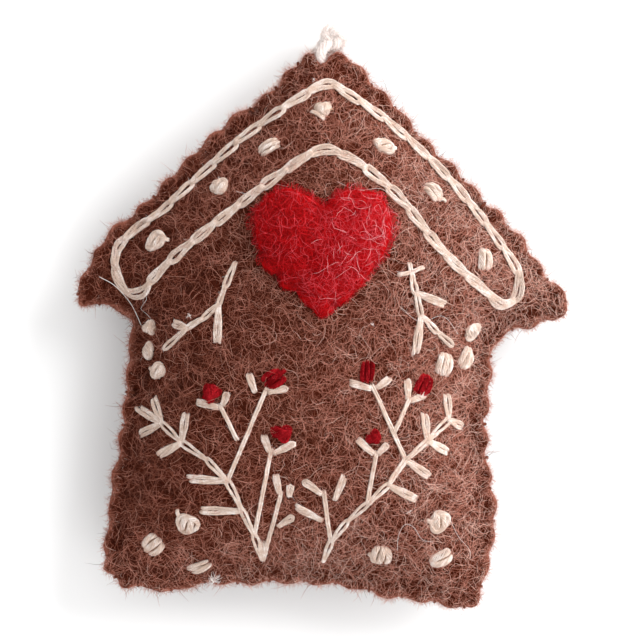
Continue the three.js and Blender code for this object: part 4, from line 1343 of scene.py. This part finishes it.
class Needle:
    """Works floss over the front panel: each stitch is a path with its rise above the felt."""

    # Share of shaded strands, how deep stitches end in the felt, and a knot's half size, wraps and core,
    # whose tone is the darker crease one, painted shade between the wraps
    shaded = 0.26
    sunk = -0.4
    knot_half = 0.54
    wrap_height = 1.65
    core_height = 0.8
    core_shade_tone = 2

    def __init__(self, seed):
        floss = floss_settings()
        self.field = made["field"]
        self.random = np.random.default_rng(seed)
        self.strands = floss.strands
        self.strand = floss.strand / MM
        self.width = floss.floss_width / MM
        self.height = floss.floss_height / MM
        self.twist = floss.twist / MM
        self.lines = []
        self.radii = []
        self.tones = []

    def lay(self, plan, rise, wide=1.0):
        """Lays a floss thread on the felt along points in plan."""
        path = smooth_line(np.c_[plan, rise], 0.34)
        x, y = path[:, 0], path[:, 1]
        up = self.field.normals(x, y)
        path = np.c_[x, y, self.field(x, y)] + up * path[:, 2:]
        self.wind(path, up, wide)

    def wind(self, path, up, wide=1.0, tall=1.0, tone=None):
        """Winds the strands of a floss thread along a path. They share a tone, or have mixed ones if none is
        given."""
        width = self.width * wide - self.strand
        height = self.height * tall - self.strand
        twist = self.twist * self.random.uniform(0.8, 1.3)
        phase = self.random.uniform(0, TAU)
        lines = bundle(path, up, width, height, max(5, round(self.strands * wide)), twist, phase)
        lines = [line + self.random.normal(0, 0.02, line.shape) for line in lines]
        self.lines.extend(lines)
        self.radii.extend(self.strand / 2 * self.random.uniform(0.75, 1.15) for _ in lines)
        mixed_tones = [int(self.random.random() < self.shaded) for _ in lines]
        self.tones.extend(mixed_tones if tone is None else [tone] * len(lines))

    def link(self, start, end, bow=0.0, half=0.46, wide=1.0, inside=True):
        """One chain stitch: out of the felt, round the far end and back into the same hole."""
        reach, along, across = aim(start, end)
        first, over = (-0.2, 0.36) if inside else (0.0, -0.3)
        half = half * self.random.uniform(0.85, 1.15)
        rows = [
            (first, 0.08, -0.45), (0.3, 0.16, 0.5), (0.22 * reach, 0.5 * half, 0.4),
            (0.5 * reach, 0.8 * half, 0.34), (0.82 * reach, half, 0.32),
            (reach + over - 0.24, 0.72 * half, 0.28), (reach + over, 0.0, 0.26),
        ]
        rows = rows + [(u, -v, h) for u, v, h in rows[-2::-1]]
        sway = self.random.normal(0, 0.05, len(rows))
        sway += [4 * bow * (u / reach) * (1 - u / reach) for u, _, _ in rows]
        plan = [start + along * u + across * (v + s) for (u, v, _), s in zip(rows, sway)]
        self.lay(plan, [h for _, _, h in rows], wide)

    def leaf(self, start, end, spread):
        """Two stitches side by side that part at the stem and run level to a blunt tip."""
        reach, along, across = aim(start, end)
        for side in (-1, 1):
            stop = reach + self.random.normal(0, 0.16)
            rows = [
                (0, 0.05, self.sunk), (0.3, 0.1, 0.3), (0.3 * reach, 0.62 * spread, 0.36),
                (0.62 * reach, spread, 0.36), (stop - 0.4, 0.8 * spread, 0.3),
                (stop, 0.4 * spread, self.sunk),
            ]
            plan = [start + along * u + across * side * v for u, v, _ in rows]
            self.lay(plan, [h for _, _, h in rows], 0.98)

    def stalk(self, start, end):
        """A straight stitch of floss whose two halves lie side by side."""
        _, _, across = aim(start, end)
        for offset in (-0.2 * across, 0.2 * across):
            self.straight(start + offset, end + offset, 0.55)

    def straight(self, start, end, wide=1.0, top=0.34):
        """One straight stitch, sunk into the felt at both ends."""
        reach, along, _ = aim(start, end)
        dip = min(0.4, reach / 4)
        steps = [0, dip, reach / 2, reach - dip, reach]
        rise = [self.sunk, top * 0.85, top, top * 0.85, self.sunk]
        self.lay([start + along * step for step in steps], rise, wide)

    def knot(self, x, y, reach, width, turn, lie, tail=None):
        """One French knot: floss wound round the needle and drawn down on the felt."""
        if tail is not None:
            self.straight(*np.add(tail, (x, y)), 0.95, 0.4)
        up = self.field.normals(np.array([x]), np.array([y]))[0]
        east = np.cross([0, 1, 0], up)
        east /= np.linalg.norm(east)
        north = np.cross(up, east)
        centre = np.array([x, y, float(self.field(np.array([x]), np.array([y]))[0])])
        shapes = {"ring": self.ring, "bars": self.bars, "pair": self.pair, "clump": self.clump}
        half = self.knot_half * reach, self.knot_half * width
        wraps = [(*wrap, self.wrap_height, None) for wrap in shapes[lie](*half)]
        # The core takes the crease tone: painted shade in the creases between the wraps.
        core = (*self.core(*half), self.core_height, self.core_shade_tone)
        for local, wide, tall, tone in [core, *wraps]:
            along, across, rise = local.T[:, :, None]
            eastward, northward = rotated(along, across, math.radians(turn))
            path = smooth_line(centre + eastward * east + northward * north + rise * up, 0.3)
            outward = path - centre + 1.2 * up
            outward /= np.linalg.norm(outward, axis=1, keepdims=True)
            self.wind(path, outward, wide, tall, tone)

    def core(self, reach, width):
        """Floss under the wraps, which shows in the creases between them."""
        share = np.array([-1, -0.85, -0.3, 0.3, 0.85, 1])
        rise = np.array([-0.3, 0.15, 0.4, 0.4, 0.15, -0.3])
        return np.stack([0.8 * reach * share, 0 * share, rise], axis=1), 1.4 * width / FLOSS_WIDTH

    def bars(self, reach, width, count=3, base=0.0):
        """Wraps side by side: the middle line of each, and its breadth as a share of the floss."""
        breadth = 1.84 * width / count
        wraps = []
        for place in np.linspace(-1, 1, count) if count > 1 else [0.0]:
            end = (reach - 0.1) * (1 - 0.14 * abs(place)) * self.random.uniform(0.92, 1.06)
            skew = self.random.normal(0, 0.09)
            share = np.array([-1, -0.86, -0.45, 0.05, 0.5, 0.88, 1])
            across = place * (width - breadth / 2) * (1 - 0.3 * share**2) + skew * share * end
            rise = np.array([-0.35, 0.3, 0.72, 0.82, 0.72, 0.3, -0.35]) * (1 - 0.25 * abs(place)) + base
            wraps.append((np.stack([share * end, across, rise], axis=1), breadth / FLOSS_WIDTH))
        return wraps

    def pair(self, reach, width):
        """Two wraps side by side."""
        return self.bars(reach, width, 2)

    def ring(self, reach, width):
        """A wrap laid round and two more across its middle."""
        start, wave, tilt = self.random.uniform(0, TAU, 3)
        spin = start + np.linspace(0, 1.06 * TAU, 18)
        uneven = 1 + 0.1 * np.sin(3 * spin + wave)
        rise = 0.42 + 0.14 * np.cos(spin - tilt)
        rise[[0, -1]] = -0.3
        rise[-2] = 0.75
        along = (reach - 0.5) * uneven * np.cos(spin)
        across = (width - 0.5) * uneven * np.sin(spin)
        wraps = [(np.stack([along, across, rise], axis=1), 1.15)]
        angle = self.random.uniform(0.4, 1.1)
        for local, wide in self.bars(0.74 * reach, 0.64 * width, 2, 0.14):
            along, across, height = local.T
            wraps.append((np.stack([*rotated(along, across, angle), height], axis=1), wide))
        return wraps

    def clump(self, reach, width):
        """Floss that passes over and under itself in three lobes, and a last wrap across them."""
        turn = self.random.uniform(0, TAU)
        spin = np.linspace(0, TAU, 22)
        along = (np.sin(spin + turn) + 1.7 * np.sin(2 * spin + turn)) / 2.5
        across = (np.cos(spin + turn) - 1.7 * np.cos(2 * spin + turn)) / 2.5
        rise = 0.5 - 0.28 * np.sin(3 * spin)
        rise[[0, -1]] = -0.3
        local = np.stack([(reach - 0.42) * along, (width - 0.42) * across, rise], axis=1)
        local += self.random.normal(0, 0.09, local.shape)
        return [(local, 1.15), *self.bars(0.75 * reach, 0.55 * width, 1, 0.2)]

    def piece(self, name, materials, slot, nodes):
        """All that was laid so far, as one piece."""
        used = materials[: max(self.tones) + 1]
        stitched = tubes(name, self.lines, self.radii, 4, self.tones, used)
        made.setdefault(slot, []).append(stitched)
        finished(stitched, "house", slot, None, *nodes)


class ORNAMENT_OT_embroidery(bpy.types.Operator):
    """Make the chain-stitch roof band and the sprigs"""

    bl_idname = "ornament.embroidery"
    bl_label = "Roof band and sprigs"

    def execute(self, context):
        for seed, (name, stitches, nodes) in enumerate(motifs()):
            needle = Needle(100 + seed)
            for start, end in stitches["stalks"]:
                needle.stalk(start, end)
            half, wide = (0.58, 1.2) if name == "roof_chain" else (0.45, 0.72)
            for link in stitches["links"]:
                needle.link(*link, half=half, wide=wide)
            for start, end in stitches["leaves"]:
                needle.leaf(start, end, 0.46)
            for start, end in stitches["bracts"]:
                if needle.random.random() < 0.4:
                    needle.link(start, end, half=0.36, wide=0.9, inside=False)
                else:
                    needle.leaf(start, end, 0.34)
            needle.piece(name, cream_floss(), "cream_floss", nodes)
        return {"FINISHED"}


def work_knots(groups, seed, strands, thicker, materials, slot):
    """Makes groups of French knots in one floss."""
    for number, (name, rows, nodes) in enumerate(groups):
        needle = Needle(seed + number)
        needle.twist *= 0.5
        needle.strands = strands
        needle.strand *= thicker
        for row in rows:
            needle.knot(*row)
        needle.piece(name, materials, slot, nodes)


class ORNAMENT_OT_knots(bpy.types.Operator):
    """Make the cream French knots"""

    bl_idname = "ornament.knots"
    bl_label = "French knots"

    def execute(self, context):
        work_knots(knot_groups(), 200, 6, 1.2, cream_floss(), "cream_floss")
        return {"FINISHED"}


class ORNAMENT_OT_berries(bpy.types.Operator):
    """Make the red French-knot berries"""

    bl_idname = "ornament.berries"
    bl_label = "Berries"

    def execute(self, context):
        groups = [
            ("berries_left", LEFT_BERRIES, numbered("left_berry", LEFT_BERRIES)),
            ("berries_right", RIGHT_BERRIES, numbered("right_berry", RIGHT_BERRIES)),
        ]
        work_knots(groups, 300, 7, 1.0, red_floss(), "red_floss")
        return {"FINISHED"}


# Loose fibres

# Fibre tones, dark to pale. On the front and the heart they are ranked by how high a fibre arches, so the
# dark ones are painted shade low in the fuzz and the pale ones painted light on its top. The edge tones are
# paler, painted light coming through the fuzz at the edge.
BROWN_TONES = [0x4E2417, 0x8E503E, 0xB87664, 0xD09583, 0xE8C0B1]
LIT_EDGE_TONES = [0x7C4130, 0x9E5D4B, 0xBE7E6D, 0xD49C8D, 0xE8C4B7]
RED_TONES = [0x7E0305, 0xB0070C, 0xD21A22, 0xE24C56, 0xF2A6AC]
CREAM_TONES = [0xF4E8E2, 0xFFFAF7]
TONE_STEPS = [0.3, 0.52, 0.73, 0.92]


def scattered(random, piece, count, keep):
    """Random places on a piece's faces and their normals, in millimetres, where keep allows."""
    mesh = piece.data
    mesh.calc_loop_triangles()
    places, _ = points_of(mesh)
    corners = np.empty(len(mesh.loop_triangles) * 3, int)
    mesh.loop_triangles.foreach_get("vertices", corners)
    triangles = places[corners.reshape(-1, 3)]
    crosses = np.cross(triangles[:, 1] - triangles[:, 0], triangles[:, 2] - triangles[:, 0])
    areas = np.linalg.norm(crosses, axis=1)
    normals = crosses / np.maximum(areas, 1e-12)[:, None]
    weights = areas * keep(triangles.mean(1), normals)
    picked = random.choice(len(triangles), count, p=weights / weights.sum())
    first, second = random.random((2, count))
    folded = first + second > 1
    first[folded], second[folded] = 1 - first[folded], 1 - second[folded]
    corner = triangles[picked]
    spots = corner[:, 0] + first[:, None] * (corner[:, 1] - corner[:, 0])
    spots += second[:, None] * (corner[:, 2] - corner[:, 0])
    return spots, normals[picked]


def lying(random, field, spots, reach, steps, lift, room=None):
    """Curly fibres that lie on a height field, one row of points each, and how high each one arches."""
    count = len(spots)
    if room is not None:
        reach = reach * np.clip(room / 3, 0.3, 1)
    heading = random.uniform(0, TAU, count)
    curl = random.normal(0, 0.45, count)
    stride = reach * random.uniform(0.45, 1.5, count) / (steps - 1)
    arch = random.exponential(lift, count)
    free = random.uniform(0.55, 1.0, count)
    x, y = spots[:, 0], spots[:, 1]
    rows = []
    for step in range(steps):
        rise = 0.02 + arch * np.sin(math.pi * free * step / (steps - 1))
        rows.append(np.stack([x, y, field(x, y) + rise], axis=1))
        heading = heading + (curl + random.normal(0, 0.5, count)) * stride
        x = x + np.cos(heading) * stride
        y = y + np.sin(heading) * stride
    return np.stack(rows, axis=1), arch


def standing(random, spots, normals, reach, steps, lean):
    """Short fibres that stand out of a surface and bend over."""
    count = len(spots)
    out = normals + random.normal(0, lean, (count, 3))
    inward = (out * normals).sum(1)
    out -= np.minimum(2 * inward, 0)[:, None] * normals
    out /= np.linalg.norm(out, axis=1, keepdims=True)
    bend = random.normal(0, 1, (count, 3))
    bend -= (bend * out).sum(1, keepdims=True) * out
    size = reach * random.uniform(0.4, 1.5, count)[:, None]
    rows = []
    for step in range(steps):
        share = step / (steps - 1)
        rows.append(spots - 0.15 * normals + out * size * share + bend * size * 0.45 * share**2)
    return np.stack(rows, axis=1)


def tapered(width, count, steps, blunt):
    """Radii along fibres, thin at the tips."""
    share = np.linspace(0, 1, steps)
    taper = np.clip(np.minimum(share * 6, (1 - share) * 3), blunt, 1)
    return np.broadcast_to(taper * width / 2, (count, steps))


class ORNAMENT_OT_fuzz(bpy.types.Operator):
    """Make the loose fibres of the felt, the floss and the cord"""

    bl_idname = "ornament.fuzz"
    bl_label = "Loose fibres"

    # Loose hairs on the cord's loop, knot and end, the heart's edge, and each square centimetre of floss
    cord_hairs = (2000, 5200, 1400)
    heart_edge = 2400
    cream_hairs = 60
    red_hairs = 130

    def execute(self, context):
        felt = felt_settings()
        brown = fibre_materials("brown_fibre", BROWN_TONES)
        red = fibre_materials("red_fibre", RED_TONES)
        cream = fibre_materials("cream_fibre", CREAM_TONES)
        self.width = felt.fibre_width / MM
        self.front(felt, brown)
        self.back(felt, brown)
        self.edge(felt, fibre_materials("edge_fibre", LIT_EDGE_TONES))
        self.heart(felt, red)
        self.cord(cream)
        self.floss("cream_floss", self.cream_hairs, cream)
        self.floss("red_floss", self.red_hairs, red[:4])
        self.hairs(cream)
        return {"FINISHED"}

    def piece(self, name, slot, fibres, radii, tones, materials, body="house"):
        fuzz = tubes(name, fibres, radii, 3, tones, materials)
        finished(fuzz, body, slot, None)

    def tones(self, random, arch, bright):
        """A tone for each fibre, with painted light and shade: paler for those that arch high and darker for
        those that lie low, shifted paler by the painted light given.
        """
        rank = arch.argsort().argsort() / len(arch)
        value = 0.5 * rank + 0.5 * random.random(len(arch)) + bright
        return np.digitize(value, TONE_STEPS)

    def bright(self, spots):
        """Painted light: how much paler the fibres are made to the right, where the key light falls, and
        along the base left of the middle, where the light from below falls.
        """
        base = np.clip(-spots[:, 1] / 16 - 1.9, 0, 1) * np.clip(1 - spots[:, 0] / 18, 0, 1)
        return 0.03 + 0.26 * np.clip(spots[:, 0] / 36, -0.8, 1) + 0.26 * base

    def front(self, felt, materials):
        random = np.random.default_rng(11)
        field, heart = made["field"], made["heart_field"]
        rim = plan_tree(made["rim"])
        batches = 6
        steps = 5

        def keep(at, out):
            return (out[:, 2] > 0.25) & (at[:, 2] > FLANGE_LEVEL - 1.5)

        for batch in range(batches):
            spots, _ = scattered(random, made["front"], felt.front_fibres // batches, keep)
            room = np.array([rim.find((x, y, 0))[2] for x, y, _ in spots])
            fibres, arch = lying(random, field, spots, felt.fibre_length / MM, steps, 0.2, room)
            x, y = fibres[..., 0], fibres[..., 1]
            hidden = heart.holds(x, y).mean(1) > 0.4
            hidden |= (~field.holds(x, y)).sum(1) > 3
            # Painted light and shade in the fibre tones: paler to the right, along the base and where they
            # arch high.
            tones = self.tones(random, arch, self.bright(spots))[~hidden]
            fibres = fibres[~hidden]
            radii = tapered(self.width, len(fibres), steps, 0.3)
            self.piece(f"front_fuzz_{batch + 1}", "brown_felt", fibres, radii, tones, materials)

    def back(self, felt, materials):
        random = np.random.default_rng(12)
        count = felt.back_fibres
        spots, normals = scattered(random, made["back"], count, lambda at, out: out[:, 2] < -0.25)
        fibres = standing(random, spots, normals, 2.4, 4, 1.6)
        fibres[..., 2] = np.maximum(fibres[..., 2], 0.035)
        tones = self.tones(random, random.random(count), 0.0)
        self.piece("back_fuzz", "brown_felt", fibres, tapered(self.width, count, 4, 0.3), tones, materials)

    def edge(self, felt, materials):
        random = np.random.default_rng(13)
        count = felt.edge_fibres // 2
        for name, side in (("front", 1), ("back", -1)):
            spots, normals = scattered(random, made[name], count, self.rim_side(side))
            fibres = standing(random, spots, normals, 0.9, 3, 1.7)
            # Painted light: edge fibres are paler overall and towards the right.
            tones = self.tones(random, random.random(count), 0.5 * self.bright(spots) + 0.18)
            radii = tapered(0.75 * self.width, count, 3, 0.4)
            self.piece(f"{name}_edge_fuzz", "brown_felt", fibres, radii, tones, materials)

    def rim_side(self, side):
        """Picks the faces of a panel's rim."""
        rim = plan_tree(made["rim"])

        def keep(at, out):
            level = np.abs(at[:, 2] - SEAM_LEVEL) < FELT + 1.0
            steep = (out[:, 2] * side > -0.5) & level
            near = np.zeros(len(at), bool)
            places = np.nonzero(steep)[0]
            near[places] = [rim.find((*at[i, :2], 0))[2] < 1.3 for i in places]
            return near

        return keep

    def heart(self, felt, materials):
        random = np.random.default_rng(14)
        count = felt.heart_fibres
        spots, _ = scattered(random, made["heart"], count, lambda at, out: out[:, 2] > 0.15)
        fibres, arch = lying(random, made["heart_field"], spots, 3.4, 6, 0.18)
        # Painted light: heart fibres paler to the right, where the light falls.
        bright = 0.12 * np.clip((spots[:, 0] - 2) / 10, -1, 1) - 0.02
        tones = self.tones(random, arch, bright)
        self.piece("heart_fuzz", "red_felt", fibres, tapered(self.width, count, 6, 0.3), tones, materials)
        count = self.heart_edge
        spots, normals = scattered(random, made["heart"], count, lambda at, out: np.abs(out[:, 2]) < 0.8)
        fibres = standing(random, spots, normals, 0.75, 4, 1.0)
        tones = self.tones(random, random.random(count), -0.05)
        radii = tapered(0.7 * self.width, count, 4, 0.3)
        self.piece("heart_edge_fuzz", "red_felt", fibres, radii, tones, materials)

    def cord(self, materials):
        random = np.random.default_rng(15)

        def keep(at, out):
            return (at[:, 2] > 0.4) & (out[:, 2] > -0.8)

        for piece, count, body in zip(made["cord"], self.cord_hairs, ("hanger", "house", "house")):
            spots, normals = scattered(random, piece, count, keep)
            fibres = standing(random, spots, normals, 1.1, 3, 1.4)
            fibres[..., 2] = np.maximum(fibres[..., 2], 0.05)
            tones = random.integers(0, len(materials), count)
            radii = tapered(0.8 * self.width, count, 3, 0.4)
            self.piece(f"{piece.name}_fuzz", "cream_cord", fibres, radii, tones, materials, body)

    def floss(self, slot, share, materials):
        """Short hairs on stitched pieces. share is how many each square centimetre has."""
        random = np.random.default_rng(17)
        hairs = []
        for piece in made[slot]:
            area = sum(face.area for face in piece.data.polygons) / MM**2 / 100
            spots, normals = scattered(random, piece, int(share * area), lambda at, out: out[:, 2] > -0.2)
            hairs.extend(standing(random, spots, normals, 0.5, 3, 1.2))
        tones = random.integers(0, len(materials), len(hairs))
        radii = tapered(0.7 * self.width, len(hairs), 3, 0.35)
        self.piece(f"{slot}_fuzz", slot, hairs, radii, tones, materials)

    def hairs(self, materials):
        """Long hairs that lie on the front, the first one thicker, and bits of lint."""
        field, heart = made["field"], made["heart_field"]
        hairs = []
        for plan in STRAY_HAIRS:
            line = smooth_line(plan, 0.5)
            x, y = line.T
            ground = np.where(heart.holds(x, y), heart(x, y), field(x, y))
            hairs.append(np.c_[x, y, ground + 0.45])
        widths = [1.0] + [0.45] * (len(hairs) - 1)
        radii = [np.full(len(hair), self.width * wide) for hair, wide in zip(hairs, widths)]
        random = np.random.default_rng(16)
        for x, y, size in LINT:
            spots = np.array([(x, y, 0)]) + random.normal(0, 0.26 * size, (int(30 * size), 3))
            curls, _ = lying(random, field, spots, 0.8 * size, 5, 0.3)
            hairs.extend(curls)
            radii.extend(tapered(1.5 * self.width, len(curls), 5, 0.4))
        self.piece("stray_hairs", "cream_floss", hairs, radii, [1] * len(hairs), materials)


class ORNAMENT_PT_panel(bpy.types.Panel):
    """Lists the ornament's pieces and settings"""

    bl_idname = "ORNAMENT_PT_panel"
    bl_label = "Felt House Ornament"
    bl_space_type = "VIEW_3D"
    bl_region_type = "UI"
    bl_category = "Ornament"

    def draw(self, context):
        for operator in OPERATORS:
            self.layout.operator(operator.bl_idname)
        for settings in (felt_settings(), floss_settings(), stage_settings()):
            box = self.layout.box()
            for key in settings.__annotations__:
                box.prop(settings, key)


OPERATORS = [
    ORNAMENT_OT_stage,
    ORNAMENT_OT_hanger,
    ORNAMENT_OT_panels,
    ORNAMENT_OT_edge_stitches,
    ORNAMENT_OT_heart,
    ORNAMENT_OT_embroidery,
    ORNAMENT_OT_knots,
    ORNAMENT_OT_berries,
    ORNAMENT_OT_fuzz,
]
SETTINGS = {"ornament_felt": FeltSettings, "ornament_floss": FlossSettings, "ornament_stage": StageSettings}
CLASSES = [*SETTINGS.values(), *OPERATORS, ORNAMENT_PT_panel]


def register():
    for cls in CLASSES:
        bpy.utils.register_class(cls)
    for name, group in SETTINGS.items():
        setattr(bpy.types.Scene, name, bpy.props.PointerProperty(type=group))


def unregister():
    for name in SETTINGS:
        delattr(bpy.types.Scene, name)
    for cls in reversed(CLASSES):
        bpy.utils.unregister_class(cls)


def main():
    register()
    bpy.ops.ornament.stage()
    bpy.ops.ornament.hanger()
    bpy.ops.ornament.panels()
    bpy.ops.ornament.edge_stitches()
    bpy.ops.ornament.heart()
    bpy.ops.ornament.embroidery()
    bpy.ops.ornament.knots()
    bpy.ops.ornament.berries()
    bpy.ops.ornament.fuzz()
    bpy.context.view_layer.update()


if __name__ == "__main__":
    main()
